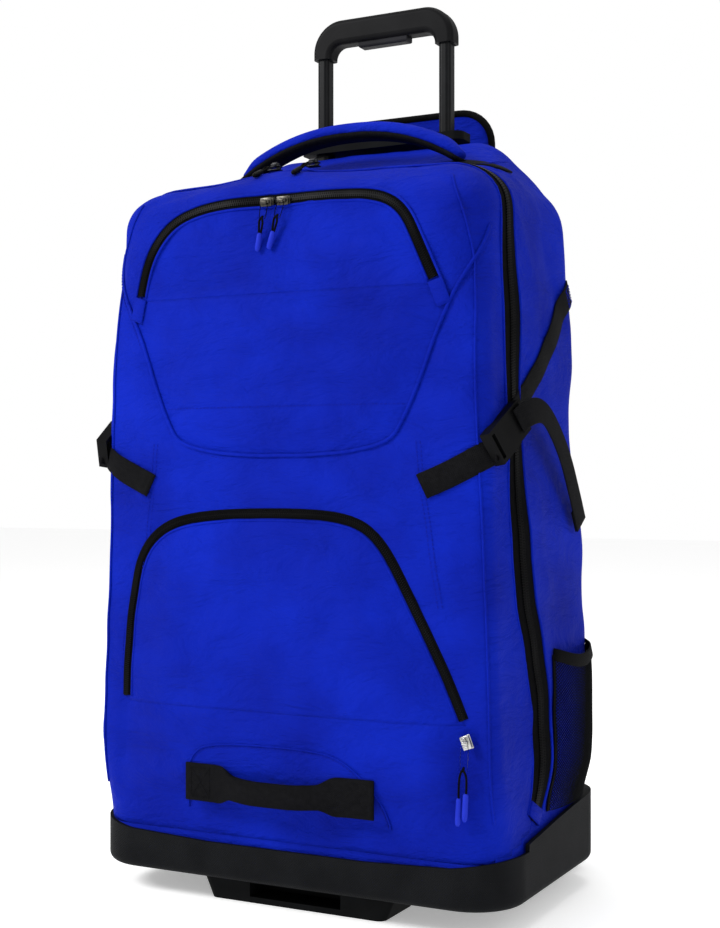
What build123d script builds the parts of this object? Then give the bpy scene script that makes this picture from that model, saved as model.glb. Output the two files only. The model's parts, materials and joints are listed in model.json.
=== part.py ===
"""Wheeled hockey equipment bag that also carries as a backpack.

Millimetres. +Z is up, the front pockets face -Y, +X is the bag's right side as seen
from the front. The origin is on the ground, under the middle of the bag.
"""

import math
import os

from build123d import *

# ---- driving dimensions -------------------------------------------------------------

BAG_WIDTH = 460.0          # fabric body, side to side near the floor
BAG_DEPTH = 247.0          # fabric body, front face to back wall
BAG_REAR = 95.0            # back wall of the fabric body
FLOOR_Z = 30.4             # underside of the fabric body, on the tray's floor
FRONT_HEIGHT = 711.0       # floor to the top at the front
TOP_RISE_MID = 16.0        # rise of the top from the front edge to the handle
TOP_RISE_REAR = 56.0       # rise of the top from the front edge to the tubes
SIDE_TAPER = 20.0          # each side leans in this much from floor to shoulder
FABRIC_WALL = 5.0          # padded fabric, lining included

FRONT_SECTION = 59.0       # front face back to the main zip
HANDLE_Y = -10.0           # centre line of the grab handle

TRAY_WALL = 4.0            # moulded base tray
TRAY_GAP = 1.0             # fabric to tray wall
TRAY_RADIUS = 55.0         # plan corners
TRAY_BOTTOM = 26.0
TRAY_FLOOR = 4.0
TRAY_REAR = 135.0          # rear face of the sill over the wheels
TRAY_EDGE = 9.0            # rounding of the tray's bottom edge
TRAY_TOP_FRONT = 63.0      # top edge in the middle of the front
TRAY_TOP_CORNER = 75.0     # top edge at the front corners
TRAY_DIP_BEND = 4.0        # rise of the front edge where the corner begins
TRAY_TOP_SIDE = 91.0       # top edge half way along each side
TRAY_TOP_REAR = 100.0
SILL_Y = 98.0              # front of the solid rear sill
HINGE_RISE = 7.0           # tray's front edge to the fold of the opening front

FOOT_WIDTH = 222.0
FOOT_FLARE = 12.0          # each end leans in this much at the ground
FOOT_DEPTH = 62.0
FOOT_BEND = 8.0
FOOT_LEAN = 30             # the foot's corner edges stand within this many degrees
FOOT_SETBACK = 25.0        # tray front to foot front
HAND_SLOT = (104.0, 32.0, 14.0)

WHEEL_RADIUS = 40.0
WHEEL_WIDTH = 24.0
WHEEL_INSET = 50.0         # tray side to the wheel's middle
WHEEL_Y = 146.0
HUB_RADIUS = 26.0
HUB_HOLES = 6
HUB_HOLE_RING = 16.0
HUB_HOLE_RADIUS = 4.5
TYRE_EDGE = 8.0
AXLE_RADIUS = 4.0
AXLE_HEAD = 2.0            # length of each axle head
AXLE_FLANGE = 3.0          # axle head beyond the axle's radius
AXLE_FIT = 0.05            # radial clearance of the hub on its axle
WHEEL_GAP = 3.0            # wheel to its housing
CHEEK = 7.0                # housing wall beside the wheel

ZIP_TAPE = 12.5            # one half of the main zip, seam to teeth
POCKET_TAPE = 10.0         # one half of a pocket zip
TAPE = 1.8                 # tape and coil thickness
ZIP_GAP = 0.5              # each half of a zip from the seam line
SKIN_GAP = 0.4             # sewn-on pieces off the fabric

TUBE_SPREAD = 165.0        # trolley, outside to outside
TUBE_X = 14.0
TUBE_Y_SIZE = 18.0
TUBE_WALL = 1.3
TUBE_FIT = 0.3             # moving tube inside the fixed one
SOCKET_WALL = 1.7          # fixed tube
TUBE_CENTRE_Y = 73.0
GRIP_TOP = 949.0
GRIP_BAR = 28.0
GRIP_DEPTH = 24.0
GRIP_CORNER = 35.0
GRIP_INNER_CORNER = 13.0
GRIP_EDGE = 6.0
GRIP_BLANK = 120.0         # height of the moulding before its sleeves are cut to length
GRIP_SOCKET = 20.0         # tube inside each sleeve
GRIP_FIT = 0.05
GRIP_SLEEVE = 4.0          # wall of the grip around each tube
SLEEVE_DROP = 42.0         # grip top to sleeve end
TROLLEY_DOWN = 99.0        # travel down from the shown stop
BUTTON = (60.0, 15.0, 12.0)
BUTTON_TRAVEL = 4.0
BUTTON_PROUD = 6.0
BUTTON_GAP = 0.5
BUTTON_EDGE = 2.5
COLLAR_HEIGHT = 9.0

WEBBING = 25.0
WEB_THICK = 1.8

# ---- values worked out from them ----------------------------------------------------

HALF = BAG_WIDTH / 2
BAG_FRONT = BAG_REAR - BAG_DEPTH
SPLIT_Y = BAG_FRONT + FRONT_SECTION
TOP_FRONT = FLOOR_Z + FRONT_HEIGHT
TOP_MID = TOP_FRONT + TOP_RISE_MID
TOP_REAR = TOP_FRONT + TOP_RISE_REAR
HINGE_Z = TRAY_TOP_FRONT + HINGE_RISE
TRAY_HALF = HALF + TRAY_GAP + TRAY_WALL
TRAY_FRONT = BAG_FRONT - TRAY_GAP - TRAY_WALL
WHEEL_X = TRAY_HALF - WHEEL_INSET
TUBE_OFFSET = TUBE_SPREAD / 2 - TUBE_X / 2
SOCKET_X = TUBE_X + 2 * (TUBE_FIT + SOCKET_WALL)
SOCKET_Y = TUBE_Y_SIZE + 2 * (TUBE_FIT + SOCKET_WALL)
COLLAR_Z = TOP_REAR + 1.0
GRIP_BOTTOM = GRIP_TOP - SLEEVE_DROP
FAR = 1200.0
SIDES = {"right": 1, "left": -1}

os.makedirs("parts", exist_ok=True)


def save(node, shape):
    """Write one physical piece."""
    export_step(shape, f"parts/{node}.step")


# ---- small building blocks ----------------------------------------------------------

def block(x0, x1, y0, y1, z0, z1):
    """Box between two corners."""
    middle = Pos((x0 + x1) / 2, (y0 + y1) / 2, (z0 + z1) / 2)
    return middle * Box(x1 - x0, y1 - y0, z1 - z0)


def side_prism(points, x0, x1):
    """Outline in Y and Z, extruded from x0 to x1."""
    face = Plane.YZ.offset(x0) * Polygon(*points, align=None)
    return extrude(face, amount=x1 - x0, dir=(1, 0, 0))


def front_prism(face, y0, y1):
    """Sketch in X and Z, extruded from the rear y1 to the front y0."""
    return extrude(Plane.XZ.offset(-y1) * face, amount=y1 - y0, dir=(0, -1, 0))


def ribbon(points, width):
    """Outline of a strip of even width along a bent centre line."""
    left = []
    right = []
    for i, (a, b) in enumerate(points):
        before = points[max(i - 1, 0)]
        after = points[min(i + 1, len(points) - 1)]
        step = math.hypot(after[0] - before[0], after[1] - before[1])
        across = (-(after[1] - before[1]) / step, (after[0] - before[0]) / step)
        left.append((a + across[0] * width / 2, b + across[1] * width / 2))
        right.append((a - across[0] * width / 2, b - across[1] * width / 2))
    return left + right[::-1]


def strap_plane(start, end, outward):
    """Frame of a flat strap: local X along it, local Z out of its face."""
    along = (Vector(*end) - Vector(*start)).normalized()
    out = Vector(*outward)
    out = (out - along * out.dot(along)).normalized()
    return Plane(origin=start, x_dir=along, z_dir=out)


def strap(start, end, outward):
    """Straight run of webbing."""
    length = (Vector(*end) - Vector(*start)).length
    return strap_plane(start, end, outward) * Pos(length / 2, 0, 0) * Box(
        length, WEBBING, WEB_THICK
    )


def both_sides(node, shape):
    """Write a right-hand piece and its mirror image."""
    save(f"{node}_right", shape)
    save(f"{node}_left", mirror(shape, about=Plane.YZ))


# ---- the fabric body's form ---------------------------------------------------------

SECTIONS = [
    # y, inset of each side, height, shoulder radius
    (BAG_FRONT, 16.0, TOP_FRONT - 25.0, 34.0),
    (BAG_FRONT + 5.0, 9.0, TOP_FRONT - 10.0, 42.0),
    (BAG_FRONT + 18.0, 4.0, TOP_FRONT, 48.0),
    (SPLIT_Y, 1.0, TOP_FRONT + 3.0, 50.0),
    (HANDLE_Y, 0.0, TOP_MID, 55.0),
    (TUBE_CENTRE_Y - 12.0, 0.0, TOP_REAR - 2.0, 60.0),
    (BAG_REAR - 8.0, 8.0, TOP_REAR, 60.0),
    (BAG_REAR, 26.0, TOP_REAR - 17.0, 50.0),
]


def tombstone(y, half, top, radius, grow):
    """One upright section of the bag: leaning sides and round shoulders."""
    foot = half + grow
    head = half - SIDE_TAPER + grow
    crown = top + grow
    bend = radius + grow
    knee = bend * (1 - math.sqrt(0.5))
    floor = FLOOR_Z - grow
    outline = [
        Line((-foot, floor), (foot, floor)),
        Line((foot, floor), (head, crown - bend)),
        ThreePointArc((head, crown - bend), (head - knee, crown - knee), (head - bend, crown)),
        Line((head - bend, crown), (bend - head, crown)),
        ThreePointArc((bend - head, crown), (knee - head, crown - knee), (-head, crown - bend)),
        Line((-head, crown - bend), (-foot, floor)),
    ]
    return Plane.XZ.offset(-y) * make_face(outline)


def form(grow):
    """The whole bag as one solid, grown or shrunk evenly."""
    middle = (BAG_FRONT + BAG_REAR) / 2
    stretch = 1 + 2 * grow / BAG_DEPTH
    faces = [
        tombstone(middle + (y - middle) * stretch, HALF - inset, top, radius, grow)
        for y, inset, top, radius in SECTIONS
    ]
    return loft(faces, ruled=True)


SEAM_BOW = [
    # how far the seam bows back, height above the fold
    (0.0, FAR), (0.0, 320.0), (8.0, 244.0), (41.0, 144.0), (47.0, 84.0), (19.0, 23.0),
]
SEAM_STOP = 26.0           # main zip's lower end above the fold
FOLD_SET_FORWARD = 9.0     # fold line's start in front of the front face


def seam(shift):
    """Main zip seam seen from the side, moved back by shift."""
    return [(SPLIT_Y + back + shift, HINGE_Z + rise) for back, rise in SEAM_BOW]


def front_region(gap):
    """Everything in front of the main zip, down to the hinge line."""
    edge = [(y, z + gap) for y, z in seam(-gap)]
    return side_prism(
        edge + [(BAG_FRONT - FOLD_SET_FORWARD, HINGE_Z + gap), (-FAR, HINGE_Z + gap), (-FAR, FAR)],
        -FAR, FAR,
    )


def zip_band(near, far):
    """Strip beside the main zip seam, between two distances from it."""
    near_edge = [(y, max(z, HINGE_Z + SEAM_STOP)) for y, z in seam(near)]
    far_edge = [(y, max(z, HINGE_Z + SEAM_STOP)) for y, z in seam(far)]
    return side_prism(near_edge + far_edge[::-1], -FAR, FAR)


# ---- base: tray, foot, wheels -------------------------------------------------------

def tray_plan(inset, rear, z0, z1):
    """Rounded plan of the tray, inset on three sides and ended at rear."""
    width = 2 * (TRAY_HALF - inset)
    front = TRAY_FRONT + inset
    plan = RectangleRounded(width, rear - front, TRAY_RADIUS - inset)
    return Pos(0, (front + rear) / 2, z0) * extrude(plan, amount=z1 - z0)


def below_tray_top(lift):
    """Everything lower than the tray's top edge, which dips in the middle of the front."""
    along_side = side_prism(
        [
            (-FAR, -FAR), (FAR, -FAR),
            (FAR, TRAY_TOP_REAR + lift), (SILL_Y, TRAY_TOP_REAR + lift),
            (HANDLE_Y, TRAY_TOP_SIDE + lift),
            (TRAY_FRONT, TRAY_TOP_CORNER + lift), (-FAR, TRAY_TOP_CORNER + lift),
        ],
        -FAR, FAR,
    )
    bend = TRAY_HALF - TRAY_RADIUS
    dip = [(-TRAY_HALF, TRAY_TOP_CORNER), (-bend, TRAY_TOP_FRONT + TRAY_DIP_BEND),
           (-bend / 2, TRAY_TOP_FRONT), (bend / 2, TRAY_TOP_FRONT),
           (bend, TRAY_TOP_FRONT + TRAY_DIP_BEND), (TRAY_HALF, TRAY_TOP_CORNER)]
    across_front = Polygon(
        (-FAR, -FAR), (-FAR, FAR), (-TRAY_HALF, FAR), *[(x, z + lift) for x, z in dip],
        (TRAY_HALF, FAR), (FAR, FAR), (FAR, -FAR), align=None,
    )
    front_part = front_prism(across_front, -FAR, SPLIT_Y) + block(-FAR, FAR, SPLIT_Y, FAR, -FAR, FAR)
    return along_side & front_part


HOUSING_FIT = 0.4          # housing to the tray's notch
HOUSING_BACK = [
    # behind the wheel's middle, height above the tray's underside
    (-16.0, 73.0), (10.0, 36.0), (12.0, 8.0), (4.0, 0.0),
]
HOUSING_RISE = 71.0
ARCH_LIP = 30.0            # wheel's middle to the arch's rear edge


def housing_outline():
    """Side view of a wheel housing."""
    front = SILL_Y + HOUSING_FIT
    behind = [(WHEEL_Y + y, TRAY_BOTTOM + z) for y, z in HOUSING_BACK]
    return [(front, TRAY_BOTTOM), (front, TRAY_BOTTOM + HOUSING_RISE)] + behind


HOUSING_HALF = WHEEL_WIDTH / 2 + WHEEL_GAP + CHEEK


def across(radius, x0, x1, y, z):
    """Cylinder along X."""
    return Pos((x0 + x1) / 2, y, z) * Rot(0, 90, 0) * Cylinder(radius, x1 - x0)


def base_tray():
    """Moulded tray with a hollow rear sill, notched for the wheel housings."""
    tray = tray_plan(0, TRAY_REAR, TRAY_BOTTOM, FAR)
    tray = fillet(tray.edges().group_by(Axis.Z)[0], TRAY_EDGE) & below_tray_top(0)
    tray -= tray_plan(TRAY_WALL, SILL_Y, TRAY_BOTTOM + TRAY_FLOOR, FAR)
    notch_inner = WHEEL_X - HOUSING_HALF - HOUSING_FIT
    for side in SIDES.values():
        xs = sorted((side * notch_inner, side * (WHEEL_X + HOUSING_HALF + HOUSING_FIT)))
        tray -= block(xs[0], xs[1], SILL_Y, FAR, -FAR, FAR)
    sill = notch_inner - 2 * TRAY_WALL
    tray -= block(-sill, sill, SILL_Y + TRAY_WALL, TRAY_REAR - TRAY_WALL,
                  -FAR, TRAY_TOP_REAR - TRAY_WALL)
    return tray


def in_tray(solid, inset):
    """Keep the part of a solid that would be inside the tray clear of its walls."""
    shell = below_tray_top(1.0) - tray_plan(inset, SILL_Y - inset + TRAY_WALL, -FAR, FAR)
    return solid - shell


def front_foot():
    """Stand under the front edge, with a slot to lift by."""
    top = FOOT_WIDTH / 2
    ground = top - FOOT_FLARE
    front = TRAY_FRONT + FOOT_SETBACK
    outline = Polygon((-ground, 0), (ground, 0), (top, TRAY_BOTTOM), (-top, TRAY_BOTTOM), align=None)
    foot = front_prism(outline, front, front + FOOT_DEPTH)
    foot = fillet(foot.edges().filter_by(Axis.Z, tolerance=FOOT_LEAN).group_by(Axis.Y)[0], FOOT_BEND)
    slot_w, slot_d, slot_h = HAND_SLOT
    slot = Pos(0, front + slot_d / 2, TRAY_BOTTOM / 2) * Box(slot_w, slot_d, slot_h)
    return foot - slot


def wheel_housing():
    """Moulded arch over one wheel, with the axle's two cheeks."""
    x0 = WHEEL_X - HOUSING_HALF
    x1 = WHEEL_X + HOUSING_HALF
    inner = WHEEL_WIDTH / 2 + WHEEL_GAP
    body = side_prism(housing_outline(), x0, x1)
    body -= across(WHEEL_RADIUS + WHEEL_GAP, WHEEL_X - inner, WHEEL_X + inner, WHEEL_Y, WHEEL_RADIUS)
    body -= block(WHEEL_X - inner, WHEEL_X + inner, WHEEL_Y, FAR, -FAR, WHEEL_RADIUS + ARCH_LIP)
    return body - across(AXLE_RADIUS + AXLE_FIT, x0, x1, WHEEL_Y, WHEEL_RADIUS)


def axle():
    """Steel axle with a head at each end."""
    reach = HOUSING_HALF
    pin = across(AXLE_RADIUS, WHEEL_X - reach - AXLE_HEAD, WHEEL_X + reach + AXLE_HEAD,
                 WHEEL_Y, WHEEL_RADIUS)
    for x in (WHEEL_X - reach - AXLE_HEAD, WHEEL_X + reach):
        pin += across(AXLE_RADIUS + AXLE_FLANGE, x, x + AXLE_HEAD, WHEEL_Y, WHEEL_RADIUS)
    return pin


def hub():
    """Moulded wheel centre with lightening holes."""
    half = WHEEL_WIDTH / 2
    body = across(HUB_RADIUS, WHEEL_X - half, WHEEL_X + half, WHEEL_Y, WHEEL_RADIUS)
    body -= across(AXLE_RADIUS + AXLE_FIT, WHEEL_X - half, WHEEL_X + half, WHEEL_Y, WHEEL_RADIUS)
    for i in range(HUB_HOLES):
        turn = math.tau * i / HUB_HOLES
        y = WHEEL_Y + HUB_HOLE_RING * math.cos(turn)
        z = WHEEL_RADIUS + HUB_HOLE_RING * math.sin(turn)
        body -= across(HUB_HOLE_RADIUS, WHEEL_X - half, WHEEL_X + half, y, z)
    return body


def tyre():
    """Soft tread around the hub, with round shoulders."""
    half = WHEEL_WIDTH / 2
    ring = across(WHEEL_RADIUS, WHEEL_X - half, WHEEL_X + half, WHEEL_Y, WHEEL_RADIUS)
    ring = fillet(ring.edges(), TYRE_EDGE)
    return ring - across(HUB_RADIUS, WHEEL_X - half, WHEEL_X + half, WHEEL_Y, WHEEL_RADIUS)


# ---- fabric shells and main zip -----------------------------------------------------

CLOTH_PLAY = 0.4           # cloth pressed towards the tray's wall
SOCKET_CUT = 0.3           # hole in the top around each fixed tube
SOCKET_CUT_HEIGHT = 60.0
POCKET_DEPTH = 30.0
POUCH_GAP = 1.2            # pocket bag outside the flap's outline
LINING = 1.5
FLAP_GAP = 0.5
TAPE_INSET = 2.0           # panel's half of a pocket zip, from the flap's edge
FOLD_RELIEF = 3.0          # extra width of a flap's opening beside its fold
FOLD_HEIGHT = 12.0         # height of that relief
FOLD_GAP = 0.4             # panel below a flap's fold
TAPE_START = 3.0           # pocket zip above its fold or its lower end

UPPER_HINGE_Z = TOP_FRONT - 129.0
UPPER_TOP_Z = TOP_FRONT - 38.0
UPPER_OUTLINE = [
    (-163.0, UPPER_HINGE_Z), (163.0, UPPER_HINGE_Z), (163.0, UPPER_HINGE_Z + 8.0),
    (122.0, UPPER_TOP_Z), (-122.0, UPPER_TOP_Z), (-163.0, UPPER_HINGE_Z + 8.0),
]

LOWER_ZIP_END = HINGE_Z + 102.0        # lowest point of the lower pocket's zip
LOWER_HINGE_Z = LOWER_ZIP_END + 28.0   # the flap folds just above the parked slider
LOWER_RIGHT = [(203.0, 0.0), (161.0, 107.0), (120.0, 196.0), (84.0, 220.0)]
LOWER_LEFT = [(-190.0, 0.0), (-181.0, 128.0), (-166.0, 184.0), (-134.0, 212.0), (-100.0, 220.0)]
LOWER_TOP_Z = LOWER_ZIP_END + LOWER_RIGHT[-1][1]


def at_fold(side):
    """Where one side of the lower pocket's zip crosses the flap's fold."""
    (x0, z0), (x1, z1) = side[:2]
    share = (LOWER_HINGE_Z - LOWER_ZIP_END - z0) / (z1 - z0)
    return x0 + (x1 - x0) * share, LOWER_HINGE_Z


LOWER_ARCH = [(x, LOWER_ZIP_END + z) for x, z in LOWER_RIGHT[1:] + LOWER_LEFT[:0:-1]]
LOWER_OUTLINE = [at_fold(LOWER_LEFT), at_fold(LOWER_RIGHT)] + LOWER_ARCH
LOWER_ZIP_OUTLINE = [
    (LOWER_LEFT[0][0], LOWER_ZIP_END), (LOWER_RIGHT[0][0], LOWER_ZIP_END),
] + LOWER_ARCH
LOWER_POUCH_BOTTOM = HINGE_Z + 60.0
UPPER_POUCH_REACH = 0.52               # upper bag's floor, as a share of the way up from the lower zip
UPPER_POUCH_BOTTOM = LOWER_TOP_Z + UPPER_POUCH_REACH * (UPPER_HINGE_Z - LOWER_TOP_Z)


def outline_face(points, grow):
    """Flat outline in X and Z, grown evenly."""
    face = Polygon(*points, align=None)
    if grow == 0:
        return face
    return offset(face, amount=grow)


def flap(points):
    """Pocket front that folds down from its zip."""
    return front_prism(outline_face(points, 0), BAG_FRONT, BAG_FRONT + FABRIC_WALL)


def flap_opening(points):
    """Cut in the front face around a flap, level with its hinge below."""
    hinge = min(z for _, z in points)
    left = min(x for x, _ in points) - FOLD_RELIEF
    right = max(x for x, _ in points) + FOLD_RELIEF
    cut = front_prism(outline_face(points, FLAP_GAP), BAG_FRONT - 1, BAG_FRONT + FABRIC_WALL + 1)
    cut += block(left, right, BAG_FRONT - 1, BAG_FRONT + FABRIC_WALL + 1, hinge, hinge + FOLD_HEIGHT)
    return cut - block(-FAR, FAR, -FAR, FAR, -FAR, hinge - FOLD_GAP)


def pocket_tape(points, inner, outer, low):
    """Half of a pocket zip on the front face, from the height low upwards."""
    face = outline_face(points, outer) - outline_face(points, inner)
    front = BAG_FRONT - SKIN_GAP - TAPE
    tape = front_prism(face, front, front + TAPE)
    return tape - block(-FAR, FAR, -FAR, FAR, -FAR, low)


def closed_zip_end():
    """Lower pocket's zip below the fold, where both halves stay joined."""
    both = pocket_tape(LOWER_ZIP_OUTLINE, -POCKET_TAPE, POCKET_TAPE, LOWER_ZIP_END + TAPE_START)
    return both - block(-FAR, FAR, -FAR, FAR, LOWER_HINGE_Z - FOLD_GAP, FAR)


def pouch(points, bottom, grow):
    """Fabric pocket bag behind the front face, open to the front."""
    back = BAG_FRONT + FABRIC_WALL + POCKET_DEPTH
    skirt = [(x, min(z, bottom) if z == min(q for _, q in points) else z) for x, z in points]
    outer = front_prism(outline_face(skirt, grow + LINING), BAG_FRONT + FABRIC_WALL, back)
    inner = front_prism(outline_face(skirt, grow), BAG_FRONT, back - LINING)
    return outer - inner


def rear_shell():
    """Fabric body behind the main zip: floor, sides, top and back wall."""
    outer = form(0) - front_region(-ZIP_GAP)
    outer = in_tray(outer, TRAY_WALL + TRAY_GAP - CLOTH_PLAY)
    cavity = in_tray(form(-FABRIC_WALL), TRAY_WALL + TRAY_GAP + FABRIC_WALL)
    shell = outer - cavity
    for side in SIDES.values():
        shell -= Pos(side * TUBE_OFFSET, TUBE_CENTRE_Y, TOP_REAR) * Box(
            SOCKET_X + 2 * SOCKET_CUT, SOCKET_Y + 2 * SOCKET_CUT, SOCKET_CUT_HEIGHT
        )
    return shell


def front_panel_shell():
    """Fabric front that opens like a door, cut out for its two pockets."""
    panel = (form(0) & front_region(ZIP_GAP)) - form(-FABRIC_WALL)
    panel = in_tray(panel, TRAY_WALL + TRAY_GAP)
    panel -= flap_opening(UPPER_OUTLINE)
    return panel - flap_opening(LOWER_OUTLINE)


def main_tapes():
    """The two halves of the main zip, on the panel and on the bag."""
    skin = form(SKIN_GAP + TAPE) - form(SKIN_GAP)
    panel_half = skin & zip_band(-ZIP_TAPE - ZIP_GAP, -ZIP_GAP)
    bag_half = skin & zip_band(ZIP_GAP, ZIP_TAPE + ZIP_GAP)
    return panel_half, bag_half


# ---- back: frame, tubes, harness ----------------------------------------------------

def tube(centre_x, size_x, size_y, wall, z0, z1):
    """Rectangular tube standing up."""
    outer = RectangleRounded(size_x, size_y, TUBE_BEND)
    inner = RectangleRounded(size_x - 2 * wall, size_y - 2 * wall, TUBE_BEND - wall)
    return Pos(centre_x, TUBE_CENTRE_Y, z0) * extrude(outer - inner, amount=z1 - z0)


TUBE_STOP = 15.6           # lowered tubes off the floor of the bag
TUBE_LOW = FLOOR_Z + FABRIC_WALL + TUBE_STOP + TROLLEY_DOWN
TUBE_BEND = 5.0            # outside corner of the moving tube
SOCKET_BEND = 6.0
SOCKET_RAISE = 5.0         # fixed tubes off the floor
SOCKET_PLAY = 0.1
BRACKET_HEIGHT = 24.0
BRACKET_SIDE = 6.0         # bracket beside each fixed tube
BRACKET_WALL = 4.0
COLLAR_SIDE = 17.0
COLLAR_PLAY = 0.2
COLLAR_EDGE = 6.0
COLLAR_BEND = 10.0
SHEET_THICK = 2.2
SHEET_INSET = 34.0         # sheet in from the side's narrow end
SHEET_MARGIN = 15.0
SHEET_BEND = 40.0
SHEET_GAP = 0.3


def socket_tube():
    """Fixed outer tube inside the back of the bag."""
    z0 = FLOOR_Z + FABRIC_WALL + SOCKET_RAISE
    outer = RectangleRounded(SOCKET_X, SOCKET_Y, SOCKET_BEND)
    inner = RectangleRounded(TUBE_X + 2 * TUBE_FIT, TUBE_Y_SIZE + 2 * TUBE_FIT, TUBE_BEND + TUBE_FIT)
    rise = COLLAR_Z - COLLAR_PLAY - z0
    return Pos(TUBE_OFFSET, TUBE_CENTRE_Y, z0) * extrude(outer - inner, amount=rise)


def bottom_bracket():
    """Moulded foot that holds both fixed tubes to the floor."""
    x = TUBE_OFFSET + SOCKET_X / 2 + BRACKET_SIDE
    y = SOCKET_Y / 2 + BRACKET_WALL
    low = FLOOR_Z + FABRIC_WALL
    body = block(-x, x, TUBE_CENTRE_Y - y, TUBE_CENTRE_Y + y, low, low + BRACKET_HEIGHT)
    well = low + SOCKET_RAISE - SOCKET_PLAY
    for side in SIDES.values():
        body -= Pos(side * TUBE_OFFSET, TUBE_CENTRE_Y, FAR / 2 + well) * Box(
            SOCKET_X + 2 * SOCKET_PLAY, SOCKET_Y + 2 * SOCKET_PLAY, FAR
        )
    return body


def top_collar():
    """Moulded plate on the top where both tubes come out."""
    plan = RectangleRounded(TUBE_SPREAD + 2 * COLLAR_SIDE, SOCKET_Y + 2 * COLLAR_EDGE, COLLAR_BEND)
    hole = RectangleRounded(TUBE_X + 2 * TUBE_FIT, TUBE_Y_SIZE + 2 * TUBE_FIT, TUBE_BEND)
    holes = Pos(TUBE_OFFSET, 0) * hole + Pos(-TUBE_OFFSET, 0) * hole
    plate = extrude(plan - holes, amount=COLLAR_HEIGHT)
    return Pos(0, TUBE_CENTRE_Y, COLLAR_Z) * plate


def frame_sheet():
    """Stiff sheet in front of the tubes, behind the lining."""
    rear = TUBE_CENTRE_Y - SOCKET_Y / 2 - BRACKET_WALL - SHEET_GAP
    plan = Pos(0, (TOP_FRONT + FLOOR_Z) / 2) * RectangleRounded(
        2 * (HALF - SIDE_TAPER - SHEET_INSET), FRONT_HEIGHT - 2 * SHEET_MARGIN, SHEET_BEND
    )
    return front_prism(plan, rear - SHEET_THICK, rear)


def trolley_grip():
    """Moulded handle: bar, round corners and a sleeve over each tube."""
    half = TUBE_SPREAD / 2 + GRIP_SLEEVE
    inside = half - TUBE_X - 2 * GRIP_SLEEVE
    blank = GRIP_BLANK / 2
    outer = Pos(0, GRIP_TOP - blank) * RectangleRounded(2 * half, GRIP_BLANK, GRIP_CORNER)
    hole = Pos(0, GRIP_TOP - GRIP_BAR - blank) * RectangleRounded(2 * inside, GRIP_BLANK, GRIP_INNER_CORNER)
    body = front_prism(outer - hole, TUBE_CENTRE_Y - GRIP_DEPTH / 2, TUBE_CENTRE_Y + GRIP_DEPTH / 2)
    body -= block(-FAR, FAR, -FAR, FAR, -FAR, GRIP_BOTTOM)
    faces = [body.faces().sort_by(Axis.Y)[0], body.faces().sort_by(Axis.Y)[-1]]
    edges = [e for f in faces for e in f.edges() if e.center().Z > GRIP_BOTTOM + 1]
    body = fillet(edges, GRIP_EDGE)
    for side in SIDES.values():
        body -= Pos(side * TUBE_OFFSET, TUBE_CENTRE_Y, GRIP_BOTTOM) * Box(
            TUBE_X + 2 * GRIP_FIT, TUBE_Y_SIZE + 2 * GRIP_FIT, 2 * GRIP_SOCKET
        )
    well_x, well_y, well_z = BUTTON
    low = GRIP_TOP - GRIP_BAR
    top = low - BUTTON_PROUD + well_z + BUTTON_TRAVEL + 1
    return body - block(-well_x / 2 - BUTTON_GAP, well_x / 2 + BUTTON_GAP,
                        TUBE_CENTRE_Y - well_y / 2 - BUTTON_GAP,
                        TUBE_CENTRE_Y + well_y / 2 + BUTTON_GAP, low - 1, top)


def release_button():
    """Button under the grip's bar that frees the tubes."""
    x, y, z = BUTTON
    low = GRIP_TOP - GRIP_BAR - BUTTON_PROUD
    body = block(-x / 2, x / 2, TUBE_CENTRE_Y - y / 2, TUBE_CENTRE_Y + y / 2, low, low + z)
    return fillet(body.edges().group_by(Axis.Z)[0], BUTTON_EDGE)


PANEL_Y = BAG_REAR + 0.5
PAD_DEPTH = 21.5
FLAP_TOP = TOP_REAR + 45.0
FLAP_WIDTH = 220.0
FLAP_DROP = 40.0           # flap below the front top edge's height
FLAP_THICK = 7.5
FLAP_OFF = 0.3
PANEL_LIFT = 10.0
PANEL_DROP = 6.0
PANEL_INSET = 65.0
BACK_BEND = 40.0           # plan corners of the back's padded pieces
SHOULDER_WIDTH = 62.0
SHOULDER_THICK = 14.0
SHOULDER_OFF = 0.4
SHOULDER_DROP = 52.0
SHOULDER_PATH = [(46.0, 0.0), (56.0, 90.0), (76.0, 180.0), (98.0, 260.0), (104.0, 360.0)]


def back_panel():
    """Padded panel over the back wall."""
    low = TRAY_TOP_REAR + PANEL_LIFT
    high = TOP_FRONT - PANEL_DROP
    plan = Pos(0, (low + high) / 2) * RectangleRounded(2 * (HALF - PANEL_INSET), high - low, BACK_BEND)
    return front_prism(plan, PANEL_Y, PANEL_Y + PAD_DEPTH)


def harness_flap():
    """Bound flap that stands up behind the tubes."""
    low = TOP_FRONT - FLAP_DROP
    plan = Pos(0, (low + FLAP_TOP) / 2) * RectangleRounded(FLAP_WIDTH, FLAP_TOP - low, BACK_BEND)
    start = PANEL_Y + PAD_DEPTH + FLAP_OFF
    return front_prism(plan, start, start + FLAP_THICK)


def shoulder_strap():
    """Padded carrying strap lying on the back panel."""
    top = TOP_FRONT - SHOULDER_DROP
    path = [(x, top - down) for x, down in SHOULDER_PATH]
    start = PANEL_Y + PAD_DEPTH + SHOULDER_OFF
    outline = Polygon(*ribbon(path, SHOULDER_WIDTH), align=None)
    return front_prism(outline, start, start + SHOULDER_THICK)


# ---- side pockets, straps, handles --------------------------------------------------

MESH_BULGE = 20.0
MESH_TOP = 262.0
MESH_LIFT = 1.0            # pocket above the tray's rear edge
MESH_ROOT = 16.0           # pocket's edges reach this far in from the widest point
MESH_BEND = 12.0
MESH_BEHIND_ZIP = 63.0
MESH_REAR_GAP = 11.0
MESH_WALL = 2.5
MESH_EDGE = 4.0


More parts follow.
